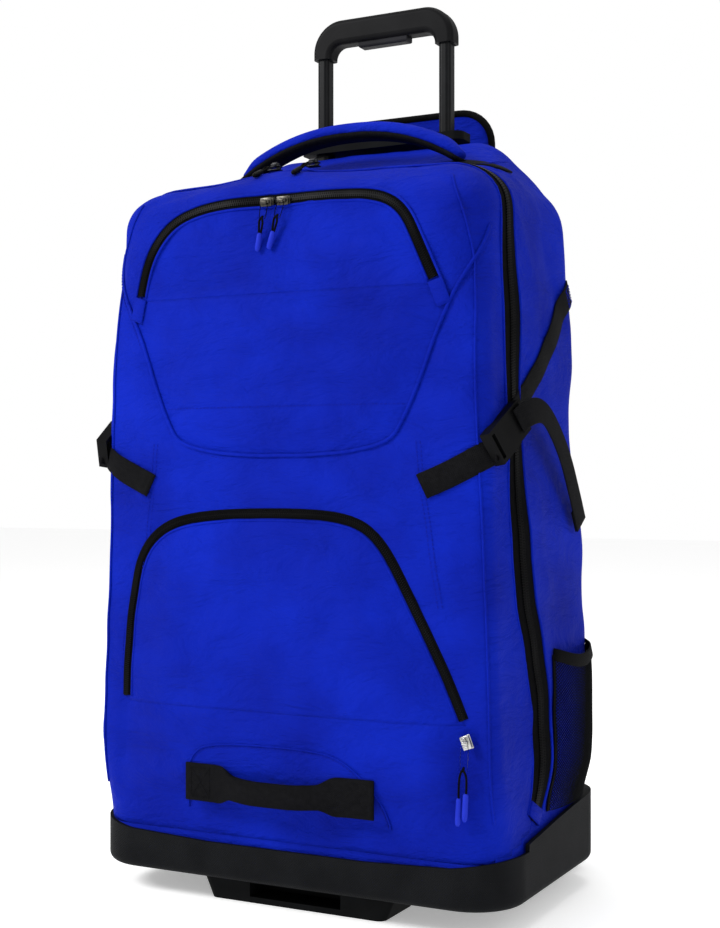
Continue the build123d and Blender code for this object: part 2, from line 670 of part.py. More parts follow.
def mesh_pocket():
    """Open-topped side pocket standing off the bag's side."""
    front = SPLIT_Y + MESH_BEHIND_ZIP
    rear = BAG_REAR - MESH_REAR_GAP
    low = TRAY_TOP_REAR + MESH_LIFT
    outer_x = HALF + MESH_BULGE
    body = block(HALF - MESH_ROOT, outer_x, front, rear, low, MESH_TOP)
    body = fillet(body.edges().filter_by(Axis.Z).group_by(Axis.X)[-1], MESH_BEND)
    body -= block(0, outer_x - MESH_WALL, front + MESH_EDGE, rear - MESH_EDGE, low + MESH_EDGE, FAR)
    return body - form(SKIN_GAP)


STRAP_Z = 424.0
STRAP_START = 156.0            # short strap's seam on the front
STRAP_PROUD = 1.7              # webbing off the front face
STRAP_BEHIND = 9.2             # long strap behind the buckle's middle
STRAP_ENTRY = 26.0             # long strap from the buckle's middle
TAIL_ENTRY = 34.0              # loose end from the buckle's middle
TAIL_OUT = 9.0                 # loose end outside the buckle's middle
BUCKLE_NECK = 37.0             # short strap's end before the buckle's middle
BUCKLE_AT = Vector(HALF - 5.3, BAG_FRONT + 25.4, STRAP_Z + 49.0)
BUCKLE_ALONG = Vector(0.12, 0.83, 0.545).normalized()
BUCKLE_OUT = (0.88, -0.47, 0.0)
FEMALE = (38.0, 34.0, 11.0)
FEMALE_BORE = (30.0, 27.0, 6.4)
MALE = (24.0, 33.0, 9.0)
BUCKLE_BAR = (5.0, 26.0, 20.0)  # slot behind a webbing bar
PRONG = (24.0, 5.0, 4.6)
PRONG_SPREAD = 9.5
FEMALE_AT = -12.0              # middles along the buckle, from where its halves meet
BORE_AT = -4.0
FEMALE_BAR_AT = -26.0
PRONG_AT = -3.5
MALE_AT = 19.5
MALE_BAR_AT = 22.0
CORNER_AT = (-32.0, -3.0, 19.0)  # short strap's bend, from the side, front and its seam
CORNER_OUT = (0.35, -0.93, 0.0)
ANCHOR_AT = (-11.5, -27.0, 198.0)  # long strap's end, from the side, back and the short one
TAIL_DROP = [(0.0, 0.0), (50.0, 17.0), (96.0, 60.0), (145.0, 112.0)]  # back and down


def buckle_plane():
    """Frame of the right-hand buckle."""
    start = tuple(BUCKLE_AT)
    end = tuple(BUCKLE_AT + BUCKLE_ALONG)
    return strap_plane(start, end, BUCKLE_OUT)


def buckle_female():
    """Receiving half, sewn to the short front strap."""
    body = Pos(FEMALE_AT, 0, 0) * Box(*FEMALE)
    body -= Pos(BORE_AT, 0, 0) * Box(*FEMALE_BORE)
    body -= Pos(FEMALE_BAR_AT, 0, 0) * Box(*BUCKLE_BAR)
    return buckle_plane() * body


def buckle_male():
    """Pronged half that the long strap is threaded through."""
    body = Pos(MALE_AT, 0, 0) * Box(*MALE)
    body -= Pos(MALE_BAR_AT, 0, 0) * Box(*BUCKLE_BAR)
    for y in (-PRONG_SPREAD, 0, PRONG_SPREAD):
        body += Pos(PRONG_AT, y, 0) * Box(*PRONG)
    return buckle_plane() * body


def strap_front():
    """Short strap from the front seam round the corner to the buckle."""
    seam_end = (STRAP_START, BAG_FRONT - STRAP_PROUD, STRAP_Z)
    corner = (HALF + CORNER_AT[0], BAG_FRONT + CORNER_AT[1], STRAP_Z + CORNER_AT[2])
    near_buckle = tuple(BUCKLE_AT - BUCKLE_ALONG * BUCKLE_NECK)
    return strap(seam_end, corner, (0, -1, 0)) + strap(corner, near_buckle, CORNER_OUT)


def strap_rear():
    """Long strap from behind the buckle to its anchor at the back."""
    out = buckle_plane().z_dir
    start = tuple(BUCKLE_AT + BUCKLE_ALONG * STRAP_ENTRY - out * STRAP_BEHIND)
    anchor = (HALF + ANCHOR_AT[0], BAG_REAR + ANCHOR_AT[1], STRAP_Z + ANCHOR_AT[2])
    return strap(start, anchor, (1, 0, 0))


def strap_tail():
    """Loose end of the long strap, hanging from the buckle."""
    start = BUCKLE_AT + BUCKLE_ALONG * TAIL_ENTRY
    path = [(start.Y + back, start.Z - down) for back, down in TAIL_DROP]
    x = start.X + TAIL_OUT
    return side_prism(ribbon(path, WEBBING), x, x + WEB_THICK)


TOP_HANDLE_REACH = 129.0
TOP_HANDLE_RISE = 36.0
TOP_HANDLE_THICK = 17.0
TOP_HANDLE_WIDTH = 34.0
TOP_HANDLE_LIFT = 9.0
TOP_HANDLE_STEPS = 4
LOWER_HANDLE_OFF = 1.3         # middle of the sewn-down webbing off the front face
LOWER_HANDLE_BOW = [(106.0, 0.0), (76.0, 0.0), (46.0, 17.0), (0.0, 25.0)]  # along and out
LOWER_HANDLE_THICK = 2.2
LOWER_HANDLE_WIDTH = 38.0
LOWER_HANDLE_RISE = 36.0       # fold to the webbing's lower edge


def top_handle():
    """Padded grab handle arched over the top."""
    end = TOP_MID + TOP_HANDLE_LIFT
    steps = [i / TOP_HANDLE_STEPS for i in range(-TOP_HANDLE_STEPS, TOP_HANDLE_STEPS + 1)]
    path = [(TOP_HANDLE_REACH * t, end + TOP_HANDLE_RISE * (1 - t**2)) for t in steps]
    outline = Polygon(*ribbon(path, TOP_HANDLE_THICK), align=None)
    half = TOP_HANDLE_WIDTH / 2
    return front_prism(outline, HANDLE_Y - half, HANDLE_Y + half) - form(SKIN_GAP)


def lower_handle():
    """Webbing handle low on the front, bowed out to be grasped."""
    face = BAG_FRONT - LOWER_HANDLE_OFF
    right = [(x, face - out) for x, out in LOWER_HANDLE_BOW]
    path = [(-x, y) for x, y in right[:-1]] + right[::-1]
    outline = Polygon(*ribbon(path, LOWER_HANDLE_THICK), align=None)
    band = extrude(outline, amount=LOWER_HANDLE_WIDTH, dir=(0, 0, 1))
    return Pos(0, 0, HINGE_Z + LOWER_HANDLE_RISE) * band


# ---- zip sliders and their pulls ----------------------------------------------------

SLIDER = (10.0, 15.0, 4.6)     # across the zip, along it, height
LUG_X = 3.4                    # inner face of each lug from the middle
LUG = 1.2
LUG_LENGTH = 3.4
LUG_MARGIN = 0.8
LUG_SINK = 0.1
SLIDER_BEND = 3.0
NECK = (3.0, 1.6)              # pull between its eye and its tab
EYE_PLAY = 0.3
CORD_SEATED = 1.0              # cord inside the tab and inside the tip
SEAT = 0.3                     # slider off the tape
PIN_RADIUS = 0.8
PIN_FIT = 0.1
EYE_RADIUS = 1.9
PIVOT_RISE = 2.3               # pin above the slider's plate
PULL_TAB = (7.0, 12.0, 2.0)
TAB_START = 5.4                # pin to the tab
TIP = (3.0, 20.0)
CORD_RADIUS = 1.4


def slider_plate():
    """Slider on its zip: local X along the zip, local Z out of the bag."""
    across_zip, along_zip, height = SLIDER
    body = Pos(0, 0, height / 2) * Box(along_zip, across_zip, height)
    return fillet(body.edges().filter_by(Axis.Z), SLIDER_BEND)


def slider_lugs():
    """Two lugs and the pin between them, centred on the pin."""
    lugs = Rot(0, 90, 0) * Cylinder(PIN_RADIUS, 2 * LUG_X + 1)
    for side in SIDES.values():
        lug = Box(LUG, LUG_LENGTH, PIVOT_RISE + 2 * LUG_MARGIN)
        lugs += Pos(side * (LUG_X + LUG / 2), 0, LUG_MARGIN - PIVOT_RISE / 2 - LUG_SINK) * lug
    return lugs


def pull_body(cord):
    """Eye, tab, cord and moulded tip, hanging along local -Y from the pin."""
    tab_w, tab_l, tab_t = PULL_TAB
    body = Rot(0, 90, 0) * Cylinder(EYE_RADIUS, 2 * (LUG_X - EYE_PLAY))
    body += Pos(0, -TAB_START / 2, 0) * Box(NECK[0], TAB_START, NECK[1])
    body += Pos(0, -TAB_START - tab_l / 2, 0) * Box(tab_w, tab_l, tab_t)
    lower = -TAB_START - tab_l
    body += Pos(0, lower - cord / 2, 0) * Rot(90, 0, 0) * Cylinder(CORD_RADIUS, cord + 2 * CORD_SEATED)
    body += Pos(0, lower - cord - TIP[1] / 2, 0) * Rot(90, 0, 0) * Cylinder(TIP[0], TIP[1])
    return body - Rot(0, 90, 0) * Cylinder(PIN_RADIUS + PIN_FIT, 2 * LUG_X)


FACE_Y = BAG_FRONT - SKIN_GAP - TAPE - SEAT
PIVOT_OUT = SLIDER[2] + PIVOT_RISE
TOP_SEAM_RISE = 3.0            # top at the main zip above its front edge
TOP_SEAT = 1.8                 # slider off the main zip's tape


def face_slider(node, x, z, slant, cord):
    """Slider on a pocket zip, and its pull hanging straight down."""
    along = (math.cos(slant), 0, math.sin(slant))
    frame = Plane(origin=(x, FACE_Y, z), x_dir=along, z_dir=(0, -1, 0))
    hang = Plane(origin=(x, FACE_Y - PIVOT_OUT, z), x_dir=(1, 0, 0), z_dir=(0, -1, 0))
    save(f"slider_{node}", frame * slider_plate() + hang * slider_lugs())
    save(f"pull_{node}", hang * pull_body(cord))


def top_slider(node, x, cord):
    """Slider on the main zip over the top, its pull lying forward."""
    z = TOP_FRONT + TOP_SEAM_RISE + SKIN_GAP + TAPE + TOP_SEAT
    frame = Plane(origin=(x, SPLIT_Y, z), x_dir=(1, 0, 0), z_dir=(0, 0, 1))
    lie = Plane(origin=(x, SPLIT_Y, z + PIVOT_OUT), x_dir=(1, 0, 0), z_dir=(0, 0, 1))
    save(f"slider_{node}", frame * slider_plate() + lie * slider_lugs())
    save(f"pull_{node}", lie * pull_body(cord))


# ---- build --------------------------------------------------------------------------

save("base_tray", base_tray())
save("front_foot", front_foot())
both_sides("wheel_housing", wheel_housing())
both_sides("axle", axle())
both_sides("hub", hub())
both_sides("tyre", tyre())

save("rear_shell", rear_shell())
save("front_panel_shell", front_panel_shell())
panel_tape, bag_tape = main_tapes()
save("main_zip_tape_panel", panel_tape)
save("main_zip_tape_bag", bag_tape)

for name, outline, bottom in (
    ("upper", UPPER_OUTLINE, UPPER_POUCH_BOTTOM),
    ("lower", LOWER_OUTLINE, LOWER_POUCH_BOTTOM),
):
    tape_low = outline[0][1] + TAPE_START
    save(f"{name}_pocket_flap", flap(outline))
    save(f"{name}_pocket_pouch", pouch(outline, bottom, POUCH_GAP))
    save(f"{name}_zip_tape_flap", pocket_tape(outline, -POCKET_TAPE, -FLAP_GAP, tape_low))
upper_low = UPPER_HINGE_Z + TAPE_START
lower_low = LOWER_HINGE_Z - FOLD_GAP
save("upper_zip_tape_panel", pocket_tape(UPPER_OUTLINE, TAPE_INSET, POCKET_TAPE, upper_low))
lower_tape = pocket_tape(LOWER_ZIP_OUTLINE, TAPE_INSET, POCKET_TAPE, lower_low)
save("lower_zip_tape_panel", lower_tape + closed_zip_end())

both_sides("socket_tube", socket_tube())
save("bottom_bracket", bottom_bracket())
save("top_collar", top_collar())
save("frame_sheet", frame_sheet())
trolley_tube = tube(TUBE_OFFSET, TUBE_X, TUBE_Y_SIZE, TUBE_WALL, TUBE_LOW, GRIP_BOTTOM + GRIP_SOCKET - 2 * GRIP_FIT)
both_sides("trolley_tube", trolley_tube)
save("trolley_grip", trolley_grip())
save("release_button", release_button())
save("back_panel", back_panel())
save("harness_flap", harness_flap())
both_sides("shoulder_strap", shoulder_strap())

both_sides("mesh_pocket", mesh_pocket())
both_sides("buckle_female", buckle_female())
both_sides("buckle_male", buckle_male())
both_sides("strap_front", strap_front())
both_sides("strap_rear", strap_rear())
both_sides("strap_tail", strap_tail())
save("top_handle", top_handle())
save("lower_handle", lower_handle())

lower_run = math.atan2(LOWER_OUTLINE[2][1] - LOWER_OUTLINE[1][1], LOWER_OUTLINE[2][0] - LOWER_OUTLINE[1][0])
face_slider("upper_left", -17.0, UPPER_TOP_Z, 0.0, 12.0)
face_slider("upper_right", 2.0, UPPER_TOP_Z, 0.0, 12.0)
face_slider("lower", 197.5, LOWER_ZIP_END + 14.0, lower_run, 40.0)
top_slider("main_left", -45.0, 10.0)
top_slider("main_right", 0.0, 10.0)
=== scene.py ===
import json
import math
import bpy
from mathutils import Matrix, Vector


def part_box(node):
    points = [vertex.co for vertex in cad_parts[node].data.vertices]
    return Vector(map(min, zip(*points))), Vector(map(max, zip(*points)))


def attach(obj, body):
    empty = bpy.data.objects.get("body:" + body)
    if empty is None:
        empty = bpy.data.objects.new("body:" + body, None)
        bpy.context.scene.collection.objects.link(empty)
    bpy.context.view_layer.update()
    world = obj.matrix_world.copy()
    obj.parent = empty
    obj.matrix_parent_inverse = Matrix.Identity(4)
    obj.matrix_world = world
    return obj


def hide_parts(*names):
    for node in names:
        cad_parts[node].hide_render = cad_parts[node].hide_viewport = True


bl_info = {
    "name": "Wheeled Hockey Bag",
    "version": (1, 0, 0),
    "blender": (4, 5, 0),
    "location": "View3D > Sidebar > Hockey Bag",
    "description": "Builds the fabric, zips, straps and finishes of a wheeled hockey bag",
    "category": "Object",
}

import bmesh
import bpy
from mathutils import Matrix, Vector, noise
from mathutils.bvhtree import BVHTree

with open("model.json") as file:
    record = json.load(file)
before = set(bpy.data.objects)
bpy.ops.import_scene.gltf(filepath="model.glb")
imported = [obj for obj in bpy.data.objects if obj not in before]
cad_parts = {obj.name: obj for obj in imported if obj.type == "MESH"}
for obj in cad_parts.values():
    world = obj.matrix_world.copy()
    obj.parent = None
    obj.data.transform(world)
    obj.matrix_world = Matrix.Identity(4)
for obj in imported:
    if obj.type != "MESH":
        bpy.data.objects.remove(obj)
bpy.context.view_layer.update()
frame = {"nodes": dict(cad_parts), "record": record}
MM = 0.001
SIDES = (("right", 1), ("left", -1))


# ---- sizes taken from the frame -----------------------------------------------------

def joint(name):
    """One joint of the record."""
    return next(j for j in frame["record"]["behaviour"]["joints"] if j["name"] == name)


REAR_LOW, REAR_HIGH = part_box("rear_shell")
PANEL_LOW, PANEL_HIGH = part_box("front_panel_shell")
FRONT_Y = PANEL_LOW[1]
BACK_Y = REAR_HIGH[1]
HALF_FOOT = REAR_HIGH[0]
FLOOR_Z = REAR_LOW[2]
TOP_FRONT = PANEL_HIGH[2] - 3 * MM
SPLIT_Y = joint("pull_main_left_swing")["pos_m"][1]
HINGE_Z = joint("front_panel_open")["pos_m"][2]
UPPER_HINGE = joint("upper_flap_open")["pos_m"][2]
LOWER_HINGE = joint("lower_flap_open")["pos_m"][2]
SIDE_TAPER = 20 * MM
WEBBING = 25 * MM


# ---- materials ----------------------------------------------------------------------

def linear(code):
    """sRGB hex colour as linear RGBA."""
    parts = [int(code[i:i + 2], 16) / 255 for i in (1, 3, 5)]
    return tuple(c / 12.92 if c <= 0.04045 else ((c + 0.055) / 1.055) ** 2.4 for c in parts) + (1.0,)


def add_node(tree, kind, values=None, links=None, **settings):
    """Adds a node with its settings, socket values and incoming links."""
    node = tree.nodes.new(kind)
    for key, value in settings.items():
        setattr(node, key, value)
    for key, value in (values or {}).items():
        node.inputs[key].default_value = value
    for key, socket in (links or {}).items():
        tree.links.new(socket, node.inputs[key])
    return node


def new_material(name, colour, roughness, **shader):
    """Material with a Principled shader; returns it, its tree and its shader."""
    made = bpy.data.materials.new(name)
    made.use_nodes = True
    tree = made.node_tree
    base = tree.nodes["Principled BSDF"]
    base.inputs["Base Color"].default_value = linear(colour)
    base.inputs["Roughness"].default_value = roughness
    for key, value in shader.items():
        base.inputs[key.replace("_", " ")].default_value = value
    return made, tree, base


def tint(tree, base, colour, other, scale, detail=4.0, coords="Object", low=0.35, high=0.65):
    """Slow drift between two close colours over the surface: random tone, and on the blue shell cloth also
    painted shade standing in for crinkles.
    """
    place = add_node(tree, "ShaderNodeTexCoord")
    cloud = add_node(tree, "ShaderNodeTexNoise", {"Scale": scale, "Detail": detail},
                     {"Vector": place.outputs[coords]})
    ramp = add_node(tree, "ShaderNodeValToRGB", links={"Fac": cloud.outputs["Fac"]})
    ramp.color_ramp.elements[0].position = low
    ramp.color_ramp.elements[0].color = linear(colour)
    ramp.color_ramp.elements[1].position = high
    ramp.color_ramp.elements[1].color = linear(other)
    tree.links.new(ramp.outputs["Color"], base.inputs["Base Color"])
    return place


def bump_chain(tree, base, layers):
    """Stacks bump layers, each (height socket, strength, distance in metres)."""
    last = None
    for height, strength, distance in layers:
        links = {"Height": height}
        if last:
            links["Normal"] = last.outputs["Normal"]
        last = add_node(tree, "ShaderNodeBump", {"Strength": strength, "Distance": distance}, links)
    tree.links.new(last.outputs["Normal"], base.inputs["Normal"])


def weave_height(tree, vector, first, second, spacing):
    """Plain weave: product of two sets of threads at the given spacing."""
    split = add_node(tree, "ShaderNodeSeparateXYZ", links={"Vector": vector})
    turns = 2 * math.pi / spacing
    waves = []
    for axes in (first, second):
        total = split.outputs[axes[0]]
        if len(axes) > 1:
            joined = add_node(tree, "ShaderNodeMath", operation="ADD")
            tree.links.new(total, joined.inputs[0])
            tree.links.new(split.outputs[axes[1]], joined.inputs[1])
            total = joined.outputs[0]
        scaled = add_node(tree, "ShaderNodeMath", operation="MULTIPLY")
        tree.links.new(total, scaled.inputs[0])
        scaled.inputs[1].default_value = turns
        wave = add_node(tree, "ShaderNodeMath", operation="SINE")
        tree.links.new(scaled.outputs[0], wave.inputs[0])
        waves.append(wave.outputs[0])
    cross = add_node(tree, "ShaderNodeMath", operation="MULTIPLY")
    tree.links.new(waves[0], cross.inputs[0])
    tree.links.new(waves[1], cross.inputs[1])
    return cross.outputs[0]


def polyester(name, colour, other):
    """Coated polyester plain weave: dull, with fine threads and soft creases."""
    made, tree, base = new_material(name, colour, 0.7, Specular_IOR_Level=0.05)
    # the drift between the two colours is random tone; on the blue shell, with its wider gap, it is also
    # painted crinkle shade
    place = tint(tree, base, colour, other, 9.0, 9.0, low=0.30, high=0.70)
    # threads are 0.4 mm apart; drawn at 1.6 mm so that they show
    threads = weave_height(tree, place.outputs["Object"], ("X", "Y"), ("Z",), 1.6 * MM)
    flow = add_node(tree, "ShaderNodeMapping", {"Scale": (1.0, 1.0, 2.4)},
                    {"Vector": place.outputs["Object"]})
    crease = add_node(tree, "ShaderNodeTexNoise",
                      {"Scale": 13.0, "Detail": 7.0, "Roughness": 0.62, "Distortion": 0.5},
                      {"Vector": flow.outputs["Vector"]})
    crumple = add_node(tree, "ShaderNodeTexNoise", {"Scale": 95.0, "Detail": 4.0},
                       {"Vector": place.outputs["Object"]})
    bump_chain(tree, base, [
        (crease.outputs["Fac"], 1.0, 11.0 * MM),
        (crumple.outputs["Fac"], 0.5, 1.4 * MM),
        (threads, 0.22, 0.3 * MM),
    ])
    return made


def webbing_cloth(name, colour, other, spacing=2.2):
    """Nylon webbing: cross ribs, on the strap's own UVs."""
    made, tree, base = new_material(name, colour, 0.7, Specular_IOR_Level=0.04)
    place = tint(tree, base, colour, other, 220.0)
    ribs = weave_height(tree, place.outputs["UV"], ("X",), ("Y",), spacing * MM)
    bump_chain(tree, base, [(ribs, 0.5, 0.5 * MM)])
    return made


def moulded(name, colour, other, roughness, grain, height, spacing=None):
    """Injection-moulded plastic with a spark-eroded or hatched grain."""
    made, tree, base = new_material(name, colour, roughness, Specular_IOR_Level=0.045)
    place = tint(tree, base, colour, other, 30.0)
    fine = add_node(tree, "ShaderNodeTexNoise", {"Scale": grain, "Detail": 3.0},
                    {"Vector": place.outputs["Object"]})
    layers = [(fine.outputs["Fac"], 0.35, height * MM)]
    if spacing:
        hatch = weave_height(tree, place.outputs["Object"], ("X", "Y"), ("Z",), spacing * MM)
        layers.append((hatch, 0.5, height * MM))
    bump_chain(tree, base, layers)
    return made


def metal(name, colour, other, roughness, metallic, gloss=0.5):
    """Plated or anodised metal with faint handling marks."""
    made, tree, base = new_material(name, colour, roughness, Metallic=metallic, Specular_IOR_Level=gloss)
    place = tint(tree, base, colour, other, 120.0)
    scratch = add_node(tree, "ShaderNodeTexNoise", {"Scale": 900.0, "Detail": 2.0},
                       {"Vector": place.outputs["Object"]})
    bump_chain(tree, base, [(scratch.outputs["Fac"], 0.08, 0.05 * MM)])
    return made


def make_materials():
    """Every finish of the bag, by the maker's name for it."""
    cloth = bpy.context.scene.bag_cloth
    return {
        # the blue cloth drifts between its lit colour and a darker painted crinkle shade
        "blue": polyester("Royal blue polyester", cloth.main_colour, cloth.shade_colour),
        "black_cloth": polyester("Black padded polyester", "#111214", "#17181B"),
        "lining": polyester("Grey lining taffeta", "#24262B", "#2C2F36"),
        "webbing": webbing_cloth("Black nylon webbing", "#0B0B0D", "#101012"),
        "tape": webbing_cloth("Black zip tape", "#040405", "#08080A", 1.6),
        "binding": webbing_cloth("Black edge binding", "#050506", "#09090A", 1.8),
        "coil": moulded("Nylon zip coil", "#060607", "#0B0B0C", 0.36, 600.0, 0.05),
        "mesh": webbing_cloth("Black polyester mesh", "#060708", "#0A0B0D", 1.5),
        "air_mesh": moulded("Black spacer mesh", "#121316", "#191A1E", 0.8, 500.0, 0.5, 3.2),
        "tray": moulded("Hatched polyethylene tray", "#0D0E10", "#121315", 0.62, 700.0, 0.35, 2.6),
        "foot": moulded("Moulded polypropylene foot", "#0A0B0C", "#0F1011", 0.6, 700.0, 0.2),
        "grip": moulded("Moulded ABS grip", "#111112", "#161617", 0.45, 900.0, 0.12),
        "button": moulded("Satin ABS button", "#1C1C1F", "#222226", 0.4, 900.0, 0.08),
        "buckle": moulded("Moulded acetal buckle", "#070708", "#0C0C0D", 0.38, 900.0, 0.08),
        "tip": moulded("Blue cord end", "#1A2AA8", "#2232B4", 0.45, 700.0, 0.08),
        "hub": moulded("Grey nylon wheel centre", "#2B2C2F", "#333438", 0.45, 700.0, 0.1),
        "tread": moulded("Urethane tread", "#111113", "#18181B", 0.6, 500.0, 0.15),
        "sheet": moulded("Extruded stiffener sheet", "#1C1D20", "#222327", 0.5, 400.0, 0.2),
        "tube": metal("Black anodised aluminium", "#0B0C0D", "#101113", 0.36, 0.0, 0.1),
        "slider": metal("Dark plated zinc", "#3E3C37", "#57544C", 0.36, 0.95),
        "slider_black": metal("Black painted zinc", "#16171A", "#202125", 0.4, 0.6),
        "puller": metal("Bright plated zinc", "#A9A9A6", "#BDBDBA", 0.3, 1.0),
        "axle": metal("Turned steel", "#A2A4A8", "#B4B6BA", 0.3, 1.0),
        "thread": webbing_cloth("Blue sewing thread", "#0A1780", "#0C1B90", 1.0),
    }


MATERIAL = {}


# ---- mesh helpers -------------------------------------------------------------------

def piece(name, bm, finish, body, replaces=(), solidify=0.0, offset=-1.0,
          subdivide=0, bevel=0.0, inner=None, smooth=True, recalc=True):
    """Turns a bmesh into a finished piece that rides on a body."""
    if recalc:
        bmesh.ops.recalc_face_normals(bm, faces=bm.faces)
    mesh = bpy.data.meshes.new(name)
    bm.to_mesh(mesh)
    bm.free()
    if smooth:
        mesh.shade_smooth()
    thing = bpy.data.objects.new(name, mesh)
    bpy.context.scene.collection.objects.link(thing)
    mesh.materials.append(MATERIAL[finish])
    if inner:
        mesh.materials.append(MATERIAL[inner])
    if bevel:
        rounding = thing.modifiers.new("Rounded edges", "BEVEL")
        rounding.width = bevel
        rounding.segments = 2
        rounding.limit_method = "ANGLE"
    if solidify:
        wall = thing.modifiers.new("Cloth thickness", "SOLIDIFY")
        wall.thickness = solidify
        wall.offset = offset
        if inner:
            wall.material_offset = 1
            wall.material_offset_rim = 0
    if subdivide:
        soft = thing.modifiers.new("Soft shape", "SUBSURF")
        soft.levels = subdivide
        soft.render_levels = subdivide
    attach(thing, body)
    if replaces:
        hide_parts(*replaces)
    return thing


def even_path(points, step, rounds=0, closed=False):
    """Rounds a polyline's corners and spaces its points evenly."""
    line = [Vector(p) for p in points]
    for _ in range(rounds):
        cut = []
        pairs = list(zip(line, line[1:] + line[:1])) if closed else list(zip(line, line[1:]))
        for a, b in pairs:
            cut.append(a.lerp(b, 0.25))
            cut.append(a.lerp(b, 0.75))
        line = cut if closed else [line[0]] + cut + [line[-1]]
    if closed:
        line = line + [line[0]]
    lengths = [0.0]
    for a, b in zip(line, line[1:]):
        lengths.append(lengths[-1] + (b - a).length)
    count = max(2, round(lengths[-1] / step))
    spaced = []
    k = 0
    for i in range(count + (0 if closed else 1)):
        want = lengths[-1] * i / count
        while k < len(line) - 2 and lengths[k + 1] < want:
            k += 1
        run = lengths[k + 1] - lengths[k]
        spaced.append(line[k].lerp(line[k + 1], (want - lengths[k]) / run if run else 0))
    return spaced


def frames_along(points, normals, closed=False):
    """Matrices along a path: X across it, Y along it, Z out of the surface."""
    rows = []
    count = len(points)
    for i, (co, no) in enumerate(zip(points, normals)):
        before = points[i - 1] if i or closed else points[0]
        after = points[(i + 1) % count] if i + 1 < count or closed else points[-1]
        along = (after - before).normalized()
        out = (no - along * no.dot(along)).normalized()
        side = along.cross(out)
        rows.append(Matrix((
            (side.x, along.x, out.x, co.x),
            (side.y, along.y, out.y, co.y),
            (side.z, along.z, out.z, co.z),
            (0, 0, 0, 1),
        )))
    return rows


def level_frames(points, out, closed=False):
    """Frames along a path that face one way throughout."""
    return frames_along(points, [out] * len(points), closed)


def sweep(bm, outline, rows, closed_outline=True, caps=True, ring=False):
    """Extrudes an outline, given as (across, out) pairs, through a list of frames."""
    verts = [bm.verts.new(rows[0] @ Vector((u, 0, v))) for u, v in outline]
    pairs = list(zip(verts, verts[1:]))
    if closed_outline:
        pairs.append((verts[-1], verts[0]))
    edges = [bm.edges.new(p) for p in pairs]
    first = list(edges)
    uv = bm.loops.layers.uv.verify()
    travelled = 0.0
    steps = list(zip(rows, rows[1:]))
    if ring:
        steps.append((rows[-1], rows[0]))
    for a, b in steps:
        made = bmesh.ops.extrude_edge_only(bm, edges=edges)["geom"]
        new_verts = [g for g in made if isinstance(g, bmesh.types.BMVert)]
        edges = [g for g in made if isinstance(g, bmesh.types.BMEdge)]
        faces = [g for g in made if isinstance(g, bmesh.types.BMFace)]
        back = a.inverted()
        moved = set(new_verts)
        length = (b.translation - a.translation).length
        for face in faces:
            for loop in face.loops:
                local = back @ loop.vert.co
                ahead = length if loop.vert in moved else 0.0
                loop[uv].uv = (local.x, travelled + ahead)
        bmesh.ops.transform(bm, matrix=b @ back, verts=new_verts)
        travelled += length
    if caps and closed_outline and not ring:
        for loop_edges in (first, edges):
            bmesh.ops.contextual_create(bm, geom=loop_edges)
    if ring:
        bmesh.ops.remove_doubles(bm, verts=bm.verts, dist=1e-6)


def flat_outline(width, thick, low=0.0, shift=0.0):
    """Cross-section of webbing: a thin strip with eased edges."""
    half = width / 2
    ease = thick * 0.45
    return [
        (shift - half, low + ease), (shift - half + ease, low), (shift + half - ease, low),
        (shift + half, low + ease), (shift + half, low + thick - ease),
        (shift + half - ease, low + thick), (shift - half + ease, low + thick),
        (shift - half, low + thick - ease),
    ]


def round_outline(radius, low=0.0, sides=8):
    """Cross-section of a cord or piping."""
    return [
        (radius * math.cos(2 * math.pi * i / sides), low + radius * math.sin(2 * math.pi * i / sides))
        for i in range(sides)
    ]


def add_block(bm, matrix, size):
    """Small box at a frame, of the given size."""
    made = bmesh.ops.create_cube(bm, size=1.0, matrix=matrix @ Matrix.Diagonal((*size, 1.0)))
    return made["verts"]


# ---- the bag's soft form ------------------------------------------------------------

def smooth_step(value, low, high):
    """Soft rise from 0 to 1 between low and high."""
    t = min(1.0, max(0.0, (value - low) / (high - low)))
    return t * t * (3 - 2 * t)


def seam_y(z):
    """Main zip seam: how far back it runs at each height."""
    marks = [(93, 19), (120, 36), (154, 46), (214, 42), (264, 27), (314, 10), (390, 0), (2000, 0)]
    z_mm = z / MM
    if z_mm <= marks[0][0]:
        return SPLIT_Y + marks[0][1] * MM
    for (z0, y0), (z1, y1) in zip(marks, marks[1:]):
        if z_mm <= z1:
            return SPLIT_Y + (y0 + (y1 - y0) * (z_mm - z0) / (z1 - z0)) * MM
    return SPLIT_Y


def top_height(y):
    """Height of the top at each depth: low in front, rising to the tubes."""
    rise = 3 * smooth_step(y, FRONT_Y, SPLIT_Y)
    rise += 14 * smooth_step(y, SPLIT_Y, 30 * MM)
    rise += 37 * smooth_step(y, -20 * MM, 78 * MM)
    return TOP_FRONT + rise * MM


def half_width(z):
    """Half the bag's width at each height."""
    lean = (z - FLOOR_Z) / (TOP_FRONT - 50 * MM - FLOOR_Z)
    return HALF_FOOT - SIDE_TAPER * min(1.0, max(0.0, lean))


# routes on the front as (across, up) in mm: zips, piping, the patch under the haul handle, creases
UPPER_ZIP = [(-170, 604), (-163, 632), (-151, 662), (-132, 688), (-102, 701), (-60, 706), (60, 705),
             (108, 701), (134, 686), (150, 654), (170, 604)]
LOWER_ZIP = [(-190, 140), (-187, 220), (-182, 300), (-170, 352), (-140, 382), (-92, 393), (-20, 396),
             (52, 395), (92, 386), (116, 362), (148, 300), (181, 234), (205, 173)]
HAUL_PATCH = [(-111, 96), (-110, 122), (-102, 150), (-82, 166), (52, 168), (82, 154), (111, 126), (118, 96)]
UPPER_PIPING = [(-209, 668), (-203, 640), (-172, 585), (-139, 497), (-112, 453), (112, 453),
                (139, 497), (172, 585), (203, 640), (209, 668)]
CREASE = [(176, 716), (196, 668), (203, 600), (204, 530), (209, 410), (216, 250), (219, 110)]


def flat_marks(marks):
    """Marks in mm on the front as (x, z) points in metres."""
    return [(x * MM, z * MM, 0) for x, z in marks]


